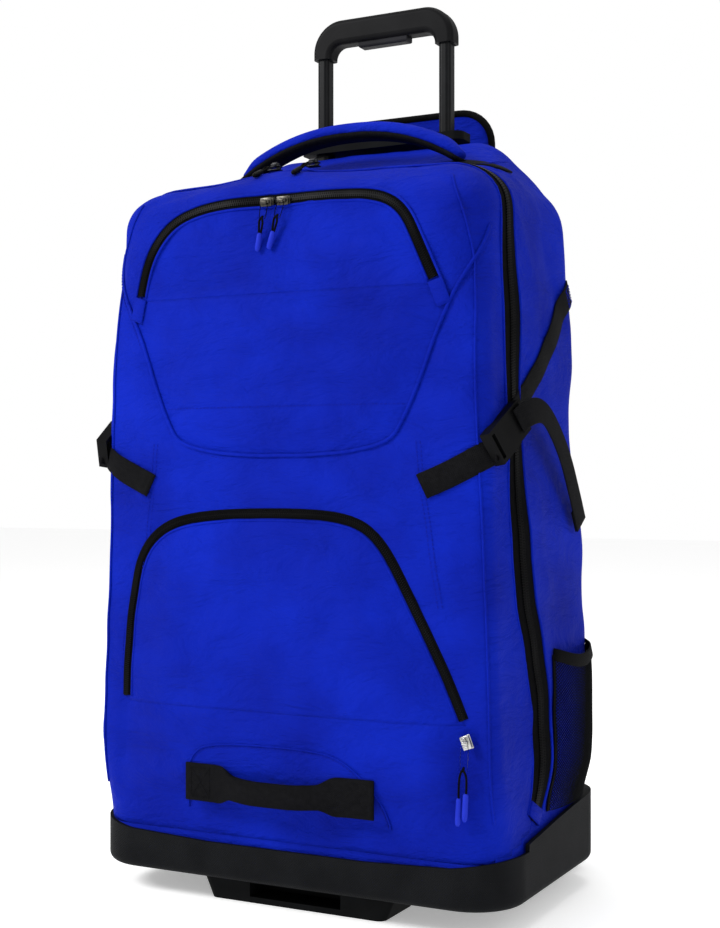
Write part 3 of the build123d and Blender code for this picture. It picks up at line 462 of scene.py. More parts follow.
def outline_of(marks, step, closed=False):
    """Rounded route on the front as evenly spaced (x, z) pairs."""
    return [(p.x, p.y) for p in even_path(flat_marks(marks), step, 2, closed)]


def inside_depth(x, z, line):
    """How far a point is inside a closed outline; negative outside."""
    inside = False
    nearest = 1.0
    for a, b in zip(line, line[1:] + line[:1]):
        if (a[1] > z) != (b[1] > z):
            if x < (b[0] - a[0]) * (z - a[1]) / (b[1] - a[1]) + a[0]:
                inside = not inside
        run = (b[0] - a[0], b[1] - a[1])
        size = run[0] ** 2 + run[1] ** 2
        if not size:
            continue
        t = min(1.0, max(0.0, ((x - a[0]) * run[0] + (z - a[1]) * run[1]) / size))
        gap = math.hypot(x - a[0] - t * run[0], z - a[1] - t * run[1])
        nearest = min(nearest, gap)
    return nearest if inside else -nearest


def ridge(x, z, start, end, width):
    """Height of one soft fold lying between two points, in mm."""
    ax, az = start
    bx, bz = end
    run = ((bx - ax) ** 2 + (bz - az) ** 2) or 1.0
    t = ((x - ax) * (bx - ax) + (z - az) * (bz - az)) / run
    fade = smooth_step(t, -0.1, 0.25) * (1 - smooth_step(t, 0.7, 1.1))
    gap = math.hypot(x - ax - t * (bx - ax), z - az - t * (bz - az))
    return fade * math.exp(-((gap / width) ** 2))


FRONT_FOLDS = [
    # start, end, width, height, all in mm on the front
    ((-200, 420), (-60, 436), 7, 1.6), ((150, 430), (20, 412), 8, -1.8),
    ((-120, 300), (-20, 350), 14, 1.6), ((0, 240), (100, 330), 16, -1.6),
    ((60, 190), (150, 260), 9, 1.5), ((-160, 220), (-60, 260), 12, -1.4),
    ((-60, 600), (60, 560), 14, 1.5), ((90, 640), (30, 560), 12, -1.4),
    ((170, 560), (200, 480), 9, 1.7), ((185, 450), (120, 400), 9, 1.5),
    ((-40, 180), (60, 215), 10, 1.2), ((190, 330), (205, 240), 8, 1.4),
]
SIDE_FOLDS = [
    # start, end, width, height, as depth and height in mm on each side
    ((-60, 560), (60, 470), 16, 2.6), ((-70, 430), (50, 300), 18, 2.2),
    ((0, 690), (50, 560), 14, -2.4), ((40, 480), (75, 330), 12, 2.0),
    ((-75, 700), (-20, 600), 12, 1.8), ((-60, 380), (-20, 300), 10, 1.6),
]


def puff(x, z, outlines):
    """How far the front stands out from its seams, in mm."""
    upper, lower = outlines
    crown = 7 * (1 - min(1.0, abs(x / (0.21))) ** 4) * (1 - min(1.0, abs((z - 0.39) / 0.37)) ** 4)
    high = inside_depth(x, z, upper)
    low = inside_depth(x, z, lower)
    pouch_high = 5 * smooth_step(high, 0, 0.045) - 2.2 * math.exp(-((high / 0.005) ** 2))
    pouch_low = 8 * smooth_step(low, 0, 0.06) - 2.5 * math.exp(-((low / 0.006) ** 2))
    hollow = 5 * math.exp(-(((x + 0.010) / 0.032) ** 2) - ((z - 0.690) / 0.030) ** 2)
    hollow += 4 * math.exp(-(((x - 0.1975) / 0.022) ** 2) - ((z - 0.155) / 0.045) ** 2)
    return crown + pouch_high + pouch_low - hollow


def shape_point(p):
    """Moves one point of a plain box onto the bag's form."""
    z_low, z_high = FLOOR_Z, TOP_FRONT
    y_mid = (FRONT_Y + BACK_Y) / 2
    y_half = (BACK_Y - FRONT_Y) / 2
    up = (p.z + 1) / 2
    z = z_low + up * (z_high - z_low)
    front = p.y < 0
    high = smooth_step(z, 0.54, 0.70)
    low = 1 - smooth_step(z, 0.06, 0.16)
    bend_x = (16 + 34 * high + 30 * low) * MM if front else 34 * MM
    bend_y = (15 + 24 * high + 30 * low) * MM if front else 34 * MM
    bend_z = (44 + 22 * smooth_step(p.y, -0.4, 0.7) if p.z > 0 else 26) * MM
    bend_x += (46 * MM) * smooth_step(p.y, -0.4, 0.7) * high
    half = half_width(z)
    sizes = Vector((half, y_half, (z_high - z_low) / 2))
    bends = Vector((bend_x, bend_y, bend_z))
    q = Vector((p.x * half, p.y * y_half, p.z * sizes.z))
    core = Vector([max(-(s - b), min(s - b, c)) for c, s, b in zip(q, sizes, bends)])
    away = Vector([(c - k) / b for c, k, b in zip(q, core, bends)])
    if away.length > 1e-6:
        away.normalize()
        q = core + Vector([a * b for a, b in zip(away, bends)])
    spot = Vector((q.x, q.y + y_mid, q.z + (z_low + z_high) / 2))
    lift = (top_height(spot.y) - TOP_FRONT) * smooth_step(spot.z, 0.45, TOP_FRONT)
    lift *= 1 - 0.75 * smooth_step(abs(spot.x), 0.11, 0.2)
    sag = 13 * MM * (1 - smooth_step(spot.y, FRONT_Y, -20 * MM)) * smooth_step(spot.z, 0.64, TOP_FRONT)
    sag *= 1 - 0.75 * math.exp(-(((spot.x + 22 * MM) / (70 * MM)) ** 2))
    spot.z += lift - sag
    return spot


def soften(spot, normal, outlines):
    """Adds the stuffed crown, folds and fine unevenness of packed cloth."""
    x, y, z = spot
    facing = smooth_step(-normal.y, 0.35, 0.9)
    flank = smooth_step(abs(normal.x), 0.35, 0.9)
    rise = facing * puff(x, z, outlines)
    x_mm, y_mm, z_mm = x / MM, y / MM, z / MM
    for start, end, width, height in FRONT_FOLDS:
        rise += facing * height * ridge(x_mm, z_mm, start, end, width)
    for start, end, width, height in SIDE_FOLDS:
        rise += flank * height * ridge(y_mm, z_mm, start, end, width)
    behind = smooth_step(y, seam_y(z) - 15 * MM, seam_y(z) + 19 * MM)
    cinched = 1 - 0.9 * math.exp(-(((z - 0.49) / 0.07) ** 2))
    rise += flank * 11 * behind * cinched * (1 - smooth_step(z, 0.50, 0.74)) * smooth_step(z, 0.09, 0.15)
    keep = smooth_step(z, 0.085, 0.14)
    slow = noise.noise(spot * 11.0) * 2.6 + noise.noise(spot * 27.0 + Vector((3, 1, 7))) * 1.3
    quick = noise.noise(Vector((x * 70, y * 70, z * 38))) * 0.7
    return spot + normal * (rise + slow + quick) * keep * MM


# how finely the skin is divided across, deep and high
SKIN_CUTS = (76, 44, 122)


def bag_form():
    """The whole bag's outer skin as one bmesh, before it is cut apart."""
    outlines = (
        outline_of(UPPER_PIPING + [(150, 735), (-150, 735)], 14 * MM, True),
        outline_of(LOWER_ZIP + [(207, 78), (-207, 78)], 14 * MM, True),
    )
    bm = cube_grid(SKIN_CUTS)
    for vert in bm.verts:
        vert.co = shape_point(vert.co)
    relax(bm, 0.5)
    bmesh.ops.recalc_face_normals(bm, faces=bm.faces)
    bm.normal_update()
    moved = [soften(v.co.copy(), v.normal.copy(), outlines) for v in bm.verts]
    for vert, spot in zip(bm.verts, moved):
        vert.co = spot
    relax(bm, 0.35, 2)
    bm.normal_update()
    return bm


# the skin's collision tree and the two pocket outlines, filled by the cloth step
SKIN = {}


def relax(bm, factor, rounds=1):
    """Evens out a mesh."""
    for _ in range(rounds):
        bmesh.ops.smooth_vert(bm, verts=bm.verts, factor=factor, use_axis_x=True, use_axis_y=True,
                              use_axis_z=True)


def touch(origin, direction):
    """Where a line meets the skin, and the way the skin faces there."""
    spot, normal, _, _ = SKIN["tree"].ray_cast(Vector(origin), Vector(direction))
    if spot is None:
        raise RuntimeError(f"no skin at {tuple(origin)}")
    return spot, normal


def on_front(x, z):
    """Point of the front skin."""
    return touch((x, -1.0, z), (0, 1, 0))


def on_side(sign, y, z):
    """Point of a side's skin."""
    return touch((sign * 1.0, y, z), (-sign, 0, 0))


def on_top(x, y):
    """Point of the top's skin."""
    return touch((x, y, 1.2), (0, 0, -1))


def front_frames(marks, step=5 * MM, rounds=2, closed=False):
    """Frames along a route drawn on the front."""
    line = even_path([(x * MM, z * MM, 0) for x, z in marks], step, rounds, closed)
    found = [on_front(p.x, p.y) for p in line]
    ways = [(f[1] * 0.4 + Vector((0, -0.6, 0))).normalized() for f in found]
    return frames_along(steady([f[0] for f in found]), smooth_normals(ways), closed)


def smooth_normals(normals, reach=5):
    """Evens out the way a strip faces along its route."""
    count = len(normals)
    evened = []
    for i in range(count):
        near = normals[max(0, i - reach):min(count, i + reach + 1)]
        evened.append(sum(near, Vector()).normalized())
    return evened


def steady(points, rounds=3):
    """Takes small wobbles out of a route, ends kept."""
    for _ in range(rounds):
        points = [points[0]] + [
            (a + b * 2 + c) / 4 for a, b, c in zip(points, points[1:], points[2:])
        ] + [points[-1]]
    return points


def main_seam_frames(step=5 * MM):
    """Frames along the main zip, from the right foot over the top to the left foot."""
    low = HINGE_Z + 30 * MM
    knee = 0.66
    spots = []
    z = low
    while z < knee:
        spots.append(on_side(1, seam_y(z), z))
        z += step
    turns = 64
    for i in range(turns + 1):
        angle = math.pi * i / turns
        aim = Vector((math.cos(angle), 0, math.sin(angle)))
        far = Vector((0, SPLIT_Y, knee)) + aim * 0.6
        spots.append(touch(far, -aim))
    z = knee - step
    while z > low:
        spots.append(on_side(-1, seam_y(z), z))
        z -= step
    line = even_path([s[0] for s in spots], step)
    found = [SKIN["tree"].find_nearest(p) for p in line]
    return frames_along(steady([f[0] for f in found]), smooth_normals([f[1] for f in found]))


# ---- the fabric pieces --------------------------------------------------------------

# faces whose normal points this far forward belong to the front
FRONT_FACING = -0.4


def gap_between(face, a, b):
    """How far a face's centre is from the middle of a run on the front."""
    centre = face.calc_center_median()
    return Vector((centre.x - (a[0] + b[0]) / 2, centre.z - (a[1] + b[1]) / 2)).length


def cut_lines(bm):
    """Cuts the skin along every outline that parts it."""
    def plane(co, no, faces):
        """Cuts some of the faces along a plane."""
        geom = faces + list({e for f in faces for e in f.edges}) + list({v for f in faces for v in f.verts})
        bmesh.ops.bisect_plane(bm, geom=geom, dist=1e-6, plane_co=co, plane_no=no)

    heights = [93, 120, 154, 214, 264, 314, 390, 1000]
    for z0, z1 in zip(heights, heights[1:]):
        a = Vector((0, seam_y(z0 * MM), z0 * MM))
        b = Vector((0, seam_y(z1 * MM), z1 * MM))
        along = (b - a).normalized()
        band = [f for f in bm.faces if a.z - 0.01 < f.calc_center_median().z < b.z + 0.01]
        plane(a, Vector((1, 0, 0)).cross(along), band)
    plane(Vector((0, 0, HINGE_Z)), Vector((0, -0.26, 0.966)),
          [f for f in bm.faces if f.calc_center_median().z < 0.13])
    for line, hinge in ((SKIN["upper"], UPPER_HINGE), (SKIN["lower"], LOWER_HINGE)):
        for a, b in zip(line, line[1:]):
            along = Vector((b[0] - a[0], 0, b[1] - a[1])).normalized()
            near = [
                f for f in bm.faces
                if f.normal.y < FRONT_FACING and gap_between(f, a, b) < math.dist(a, b) / 2 + 12 * MM
            ]
            plane(Vector((a[0], 0, a[1])), Vector((0, 1, 0)).cross(along), near)
        plane(Vector((0, 0, hinge)), Vector((0, 0, 1)),
              [f for f in bm.faces if f.normal.y < FRONT_FACING
               and abs(f.calc_center_median().z - hinge) < 20 * MM])


def region_of(face):
    """Which fabric piece a face of the skin belongs to."""
    x, y, z = face.calc_center_median()
    if face.normal.y < -0.3:
        if z > UPPER_HINGE and inside_depth(x, z, SKIN["upper"]) > 0:
            return "upper"
        if LOWER_HINGE < z and inside_depth(x, z, SKIN["lower"]) > 0:
            return "lower"
    hinge_line = HINGE_Z + max(0.0, y - FRONT_Y) * 0.27
    if z > hinge_line and y < seam_y(z):
        return "door"
    return "body"


def cut_region(bm, region, marks):
    """Copy of the skin with only one region left."""
    part = bm.copy()
    part.faces.ensure_lookup_table()
    doomed = [f for f in part.faces if marks[f.index] != region]
    bmesh.ops.delete(part, geom=doomed, context="FACES")
    return part


class BagCloth(bpy.types.PropertyGroup):
    """Cloth colours and thickness."""
    # main is the lit end and shade the darker end of a drift that is partly random tone and partly painted
    # crinkle shade
    main_colour: bpy.props.StringProperty(
        name="Cloth", description="Lit colour of the shell cloth", default="#0520A4")
    shade_colour: bpy.props.StringProperty(
        name="Cloth shade", description="Darker drift in the cloth", default="#031483")
    wall: bpy.props.FloatProperty(name="Wall", description="Padded cloth thickness", default=4 * MM,
                                  min=MM, unit="LENGTH")


class BagZips(bpy.types.PropertyGroup):
    """Zip sizes."""
    tape: bpy.props.FloatProperty(name="Main tape", description="Width of half the main zip",
                                  default=12 * MM, unit="LENGTH")
    pocket_tape: bpy.props.FloatProperty(name="Pocket tape", description="Width of half a pocket zip",
                                         default=5 * MM, unit="LENGTH")
    pitch: bpy.props.FloatProperty(name="Coil pitch", description="Distance between coil turns",
                                   default=2.6 * MM, unit="LENGTH")
    thick: bpy.props.FloatProperty(name="Tape thickness", description="Thickness of the woven tape",
                                   default=0.9 * MM, unit="LENGTH")


class BAG_OT_cloth(bpy.types.Operator):
    """Soft shell, opening front and the two pocket fronts"""
    bl_idname = "hockeybag.cloth"
    bl_label = "Cloth shell"

    def execute(self, context):
        wall = context.scene.bag_cloth.wall
        bm = bag_form()
        SKIN["tree"] = BVHTree.FromBMesh(bm)
        SKIN["upper"] = outline_of(UPPER_ZIP, 24 * MM)
        SKIN["lower"] = outline_of(LOWER_ZIP, 26 * MM)
        cut_lines(bm)
        bm.normal_update()
        bm.faces.index_update()
        marks = [region_of(f) for f in bm.faces]
        for name, region, body, node in (
            ("shell_rear", "body", "bag", "rear_shell"),
            ("shell_front", "door", "front_panel", "front_panel_shell"),
            ("pocket_front_upper", "upper", "upper_flap", "upper_pocket_flap"),
            ("pocket_front_lower", "lower", "lower_flap", "lower_pocket_flap"),
        ):
            piece(name, cut_region(bm, region, marks), "blue", body, (node,),
                  solidify=wall, inner="lining", recalc=False)
        bm.free()
        return {"FINISHED"}


def coil_row(bm, rows, pitch, reach, side, size, lift):
    """Turns of a zip coil, every second one from this side of the seam."""
    travelled = 0.0
    due = pitch / 2 if side > 0 else 0.0
    for a, b in zip(rows, rows[1:]):
        run = (b.translation - a.translation).length
        while due <= travelled + run:
            t = (due - travelled) / run
            where = a.lerp(b, t)
            add_block(bm, where @ Matrix.Translation((side * reach, 0, lift)), size)
            due += pitch
        travelled += run


# one coil turn: along the zip's width, along its length and out of it
MAIN_COIL = (4.6 * MM, 1.7 * MM, 1.8 * MM)
POCKET_COIL = (3.4 * MM, 1.4 * MM, 1.4 * MM)
POCKET_PITCH = 0.85


def zip_half(name, rows, side, body, node):
    """One half of a zip: woven tape with its row of coil turns."""
    sizes = bpy.context.scene.bag_zips
    tape, coil, pitch = sizes.pocket_tape, POCKET_COIL, sizes.pitch * POCKET_PITCH
    if name.startswith("main"):
        tape, coil, pitch = sizes.tape, MAIN_COIL, sizes.pitch
    bm = bmesh.new()
    sweep(bm, flat_outline(tape, sizes.thick, 0.3 * MM, side * (tape / 2 + 0.2 * MM)), rows)
    piece(f"{name}_tape", bm, "tape", body, (node,))
    bm = bmesh.new()
    coil_row(bm, rows, pitch, coil[0] * 0.36, side, coil, sizes.thick + 0.6 * MM)
    piece(f"{name}_coil", bm, "coil", body, (), smooth=False)


class BAG_OT_zips(bpy.types.Operator):
    """Main zip and pocket zips, each in two halves"""
    bl_idname = "hockeybag.zips"
    bl_label = "Zips"

    def execute(self, context):
        rows = main_seam_frames()
        zip_half("main_zip_bag", rows, 1, "bag", "main_zip_tape_bag")
        zip_half("main_zip_door", rows, -1, "front_panel", "main_zip_tape_panel")
        for name, marks, hinge in (("upper", UPPER_ZIP, UPPER_HINGE), ("lower", LOWER_ZIP, LOWER_HINGE)):
            rows = above(front_frames(marks), hinge + 3 * MM)
            zip_half(f"{name}_zip_flap", rows, 1, f"{name}_flap", f"{name}_zip_tape_flap")
            zip_half(f"{name}_zip_panel", rows, -1, "front_panel", f"{name}_zip_tape_panel")
        return {"FINISHED"}


def above(rows, height):
    """Only the frames above a height."""
    return [r for r in rows if r.translation.z > height]


def along_skin(points, step=5 * MM, rounds=2, lift=0.0):
    """Frames along a 3D route laid on the skin."""
    found = [SKIN["tree"].find_nearest(p) for p in even_path(points, step, rounds)]
    spots = [f[0] + f[1] * lift for f in found]
    return frames_along(spots, smooth_normals([f[1] for f in found]))


def stitches(bm, rows, shift=0.0, pitch=4.2 * MM, size=(0.8 * MM, 2.6 * MM, 0.5 * MM), lift=0.15 * MM):
    """Row of sewn stitches beside a route."""
    travelled = 0.0
    due = pitch / 2
    for a, b in zip(rows, rows[1:]):
        run = (b.translation - a.translation).length
        while due <= travelled + run:
            where = a.lerp(b, (due - travelled) / run)
            add_block(bm, where @ Matrix.Translation((shift, 0, lift)), size)
            due += pitch
        travelled += run


def resized(rows, widths, heights=None):
    """Frames that widen or flatten what is swept through them."""
    heights = heights or [1.0] * len(rows)
    return [r @ Matrix.Diagonal((w, 1, h, 1)) for r, w, h in zip(rows, widths, heights)]


def shifted(rows, across_by=0.0, out_by=0.0):
    """Frames moved sideways and outwards."""
    return [r @ Matrix.Translation((across_by, 0, out_by)) for r in rows]


def round_box(p, sizes, bends):
    """Point of a unit cube moved onto a box with rounded edges."""
    q = Vector([a * s for a, s in zip(p, sizes)])
    core = Vector([max(b - s, min(s - b, c)) for c, s, b in zip(q, sizes, bends)])
    away = Vector([(c - k) / b for c, k, b in zip(q, core, bends)])
    if away.length < 1e-6:
        return q
    away.normalize()
    return core + Vector([a * b for a, b in zip(away, bends)])


def cube_grid(cuts):
    """Unit cube cut into a fine grid."""
    bm = bmesh.new()
    bmesh.ops.create_cube(bm, size=2.0)
    for axis, count in enumerate(cuts):
        lined = [e for e in bm.edges if abs((e.verts[0].co - e.verts[1].co)[axis]) > 1e-4]
        bmesh.ops.subdivide_edges(bm, edges=lined, cuts=count, use_grid_fill=True)
    return bm


def seam_piece(name, routes, finish, body, radius=1.5 * MM):
    """Piping along several routes."""
    bm = bmesh.new()
    for rows in routes:
        sweep(bm, round_outline(radius, radius * 0.55), rows)
    return piece(name, bm, finish, body)


class BAG_OT_seams(bpy.types.Operator):
    """Piping, stitched seams and zip end tabs"""
    bl_idname = "hockeybag.seams"
    bl_label = "Seams and piping"

    def execute(self, context):
        seam_piece("upper_pocket_piping", [front_frames(UPPER_PIPING)], "blue", "front_panel", 1.9 * MM)
        rows = front_frames(LOWER_ZIP)
        flap_rows = above(rows, LOWER_HINGE + 2 * MM)
        seam_piece("lower_pocket_piping", [shifted(flap_rows, 6.8 * MM, 0.3 * MM)], "blue", "lower_flap",
                   1.5 * MM)
        rows = front_frames(UPPER_ZIP)
        flap_rows = above(rows, UPPER_HINGE + 2 * MM)
        seam_piece("upper_zip_edge", [shifted(flap_rows, 6.6 * MM, 0.3 * MM)], "blue", "upper_flap",
                   1.4 * MM)
        seam_piece("upper_zip_welt", [shifted(rows, -6.6 * MM, 0.3 * MM)], "blue", "front_panel", 1.4 * MM)
        creases = []
        for sign in (1, -1):
            marks = [(sign * x, z) for x, z in CREASE]
            creases.append(front_frames(marks))
        seam_piece("haul_patch_edge", [front_frames(HAUL_PATCH)], "blue", "front_panel", 0.9 * MM)
        seam_piece("front_crease", creases, "blue", "front_panel", 1.3 * MM)
        bm = bmesh.new()
        for side in (1, -1):
            marks = [(side * x, z) for x, z in [(148, 466), (152, 425), (157, 392), (163, 350), (170, 307)]]
            stitches(bm, front_frames(marks), 2.2 * MM)
            stitches(bm, front_frames(marks), -2.2 * MM)
        stitches(bm, front_frames(UPPER_PIPING), 5 * MM)
        stitches(bm, front_frames([(-134, 501), (134, 501)]), 0.0)
        stitches(bm, front_frames(HAUL_PATCH), 2.5 * MM)
        rows = front_frames(LOWER_ZIP)
        stitches(bm, rows, -8.5 * MM)
        piece("front_stitching", bm, "thread", "front_panel", smooth=False)
        bm = bmesh.new()
        stitches(bm, above(rows, LOWER_HINGE + 2 * MM), 10.5 * MM)
        piece("lower_flap_stitching", bm, "thread", "lower_flap", smooth=False)
        bm = bmesh.new()
        for sign in (1, -1):
            ends = front_frames([(sign * 166, 616), (sign * 171, 601), (sign * 174, 593)], 4 * MM, 1)
            sweep(bm, flat_outline(15 * MM, 1.6 * MM, 1.4 * MM), ends)
        piece("upper_zip_end_tabs", bm, "blue", "front_panel")
        rows = main_seam_frames()
        bm = bmesh.new()
        sweep(bm, flat_outline(27 * MM, 2.0 * MM, 1.6 * MM), rows[:4])
        sweep(bm, flat_outline(27 * MM, 2.0 * MM, 1.6 * MM), rows[-4:])
        piece("main_zip_garages", bm, "blue", "bag")
        bm = bmesh.new()
        stitches(bm, rows, 15.5 * MM)
        piece("main_seam_stitching", bm, "thread", "bag", smooth=False)
        rounds = [rows[i] for i in range(0, len(rows), 2)]
        seam_piece("main_seam_piping", [shifted(rounds, 14 * MM, 0.0)], "blue", "bag", 1.5 * MM)
        seam_piece("door_seam_piping", [shifted(rounds, -14 * MM, 0.0)], "blue", "front_panel", 1.5 * MM)
        return {"FINISHED"}


def box_stitch(bm, matrix, width, length, lift):
    """Box with a cross sewn through it."""
    half_w, half_l = width / 2, length / 2
    corners = [Vector((-half_w, -half_l, 0)), Vector((half_w, -half_l, 0)), Vector((half_w, half_l, 0)),
               Vector((-half_w, half_l, 0))]
    runs = list(zip(corners, corners[1:] + corners[:1]))
    runs += [(corners[0], corners[2]), (corners[1], corners[3])]
    for a, b in runs:
        line = [matrix @ p for p in even_path([a, b], 2 * MM)]
        out = matrix.to_3x3() @ Vector((0, 0, 1))
        stitches(bm, level_frames(line, out), 0.0, 3.2 * MM, (0.7 * MM, 2.2 * MM, 0.5 * MM), lift)


class BAG_OT_handles(bpy.types.Operator):
    """Padded grab handle and webbing handle"""
    bl_idname = "hockeybag.handles"
    bl_label = "Handles"

    def execute(self, context):
        low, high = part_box("top_handle")
        middle = (low[1] + high[1]) / 2
        reach = high[0] - 4 * MM
        crest = high[2]
        foot = on_top(reach, middle)[0].z + 3 * MM
        steps = 40
        arch = []
        for i in range(steps + 1):
            t = 2 * i / steps - 1
            arch.append(Vector((reach * t, middle, foot + (crest - 16 * MM - foot) * (1 - abs(t) ** 2.3))))
        rows = level_frames(arch, Vector((0, 0, 1)))
        fat = [0.62 + 0.38 * smooth_step(1 - abs(2 * i / steps - 1), 0.0, 0.16) for i in range(steps + 1)]
        sleeve = [(16 * MM * math.cos(a), 3 * MM + 12.5 * MM * max(0.0, math.sin(a)) ** 0.8)
                  for a in [math.pi * k / 12 for k in range(13)]]
        sleeve += [(-12 * MM, 1 * MM), (12 * MM, 1 * MM)]
        bm = bmesh.new()
        sweep(bm, sleeve, resized(rows, fat, fat))
        handle = piece("grab_handle", bm, "blue", "bag", ("top_handle",), subdivide=1)
        bm = bmesh.new()
        under = [(15 * MM, 2.5 * MM), (15 * MM, -1 * MM), (8 * MM, -3.5 * MM), (-8 * MM, -3.5 * MM),
                 (-15 * MM, -1 * MM), (-15 * MM, 2.5 * MM)]
        sweep(bm, under, rows)
        for sign in (1, -1):
            tab = along_skin([(sign * (reach - 10 * MM), middle, foot),
                              (sign * (reach + 20 * MM), middle, foot),
                              (sign * (reach + 52 * MM), middle, foot - 8 * MM)], 4 * MM, 1, 0.6 * MM)
            sweep(bm, flat_outline(34 * MM, 2 * MM), tab)
        piece("grab_handle_webbing", bm, "webbing", "bag", ())
        bm = bmesh.new()
        for sign in (1, -1):
            spot, out = on_top(sign * (reach + 30 * MM), middle)
            mark = frames_along([spot, spot + Vector((sign * 5 * MM, 0, 0))], [out, out])[0]
            box_stitch(bm, mark, 26 * MM, 34 * MM, 3 * MM)
        for i in (-1, 1):
            stitches(bm, rows, i * 11.5 * MM, lift=3.2 * MM)
        piece("grab_handle_stitching", bm, "thread", "bag", smooth=False)

        low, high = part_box("lower_handle")
        z = (low[2] + high[2]) / 2
        reach = high[0]
        width = high[2] - low[2]
        line, widths, thick = [], [], []
        steps = 48
        for i in range(steps + 1):
            t = 2 * i / steps - 1
            bow = 1 - smooth_step(abs(t), 0.16, 0.70)
            x = reach * t
            face = min(on_front(x, z + width * part)[0].y for part in (-0.5, -0.25, 0, 0.25, 0.5))
            face -= 0.6 * MM
            line.append(Vector((x, face + (low[1] + 3 * MM - face) * bow, z - 3 * MM * bow)))
            grip = 1 - smooth_step(abs(t), 0.44, 0.62)
            widths.append(1 - 0.36 * grip)
            thick.append(1 + 1.6 * grip)
        rows = level_frames(steady(line), Vector((0, -1, 0)))
        bm = bmesh.new()
        sweep(bm, flat_outline(width, 2.2 * MM), resized(rows, widths, thick))
        piece("haul_handle", bm, "webbing", "front_panel", ("lower_handle",))
        bm = bmesh.new()
        for sign in (1, -1):
            box_stitch(bm, rows[4 if sign < 0 else -5], width - 8 * MM, 22 * MM, 2.3 * MM)
        piece("haul_handle_stitching", bm, "webbing", "front_panel", smooth=False)
        return {"FINISHED"}


def strap_frames(points, sign, step=4 * MM, rounds=2, lift=0.0):
    """Frames along a strap on the right, or mirrored to the left."""
    return along_skin([(sign * x * MM, y * MM, z * MM) for x, y, z in points], step, rounds, lift * MM)


class BAG_OT_straps(bpy.types.Operator):
    """Compression straps with their buckles"""
    bl_idname = "hockeybag.straps"
    bl_label = "Compression straps"

    def execute(self, context):
        for name, sign in SIDES:
            low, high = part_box(f"buckle_female_{name}")
            middle = (Vector(low) + Vector(high)) / 2
            slide = Vector(joint(f"buckle_{name}_release")["axis"]).normalized()
            out = Vector((sign * 0.88, -0.47, 0))
            out = (out - slide * out.dot(slide)).normalized()
            far_end = middle - slide * 16 * MM
            rows = strap_frames([(153, -156, 423), (180, -156, 434), (203, -150, 446),
                                 (213, -140, 456)], sign)
            last = rows[-1].translation
            bridge = even_path([last, last.lerp(far_end, 0.5) + out * 2 * MM, far_end], 2 * MM, 2)[1:]
            ways = [rows[-1].to_3x3() @ Vector((0, 0, 1))] + [out] * len(bridge)
            free = frames_along([last] + bridge, ways)[1:]
            bm = bmesh.new()
            sweep(bm, flat_outline(WEBBING, 1.8 * MM, 0.6 * MM), rows + free)
            piece(f"short_strap_{name}", bm, "webbing", "front_panel", (f"strap_front_{name}",))
            # long strap from behind the buckle up to the rear seam
            low_m, high_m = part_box(f"buckle_male_{name}")
            male = (Vector(low_m) + Vector(high_m)) / 2
            start = male + slide * 6 * MM - out * 7 * MM
            rail = [start, start + slide * 30 * MM - out * 2 * MM]
            anchor = [(225, -60, 512), (222, -10, 562), (219, 38, 607), (216, 72, 628)]
            rail += [Vector((sign * x * MM, y * MM, z * MM)) for x, y, z in anchor]
            line = even_path(rail, 5 * MM, 3)
            spots, ways = [], []
            for i, p in enumerate(line):
                near, way, _, gap = SKIN["tree"].find_nearest(p)
                hold = smooth_step(i, 0, 10)
                spots.append(p.lerp(near + way * 0.8 * MM, hold))
                ways.append(out.lerp(way, hold).normalized())
            rows = frames_along(spots, smooth_normals(ways))
            bm = bmesh.new()
            sweep(bm, flat_outline(WEBBING, 1.7 * MM, 0.2 * MM), rows)
            piece(f"long_strap_{name}", bm, "webbing", "bag", (f"strap_rear_{name}",))
            bm = bmesh.new()
            box_stitch(bm, rows[-4], 19 * MM, 16 * MM, 2.1 * MM)
            piece(f"long_strap_stitching_{name}", bm, "thread", "bag", smooth=False)
            # loose end: out over the bar, then hanging towards the rear
            head = male + slide * 14 * MM + out * 4 * MM
            hang = [head - slide * 8 * MM, head + slide * 8 * MM + out * 3 * MM]
            hang += [Vector((sign * x * MM, y * MM, z * MM)) for x, y, z in
                     [(239, -72, 497), (240, -44, 482), (240, -8, 452), (239, 24, 412), (238, 46, 383)]]
            line = even_path(hang, 4 * MM, 3)
            ways = []
            for i in range(len(line)):
                twist = smooth_step(i, 2, 14)
                ways.append(out.lerp(Vector((sign * 0.97, -0.2, 0.16)), twist).normalized())
            rows = frames_along(line, ways)
            bm = bmesh.new()
            sweep(bm, flat_outline(WEBBING, 1.7 * MM), rows)
            sweep(bm, flat_outline(WEBBING, 1.7 * MM, -1.8 * MM), rows[-7:])
            piece(f"loose_end_{name}", bm, "webbing", f"buckle_{name}", (f"strap_tail_{name}",))
        return {"FINISHED"}


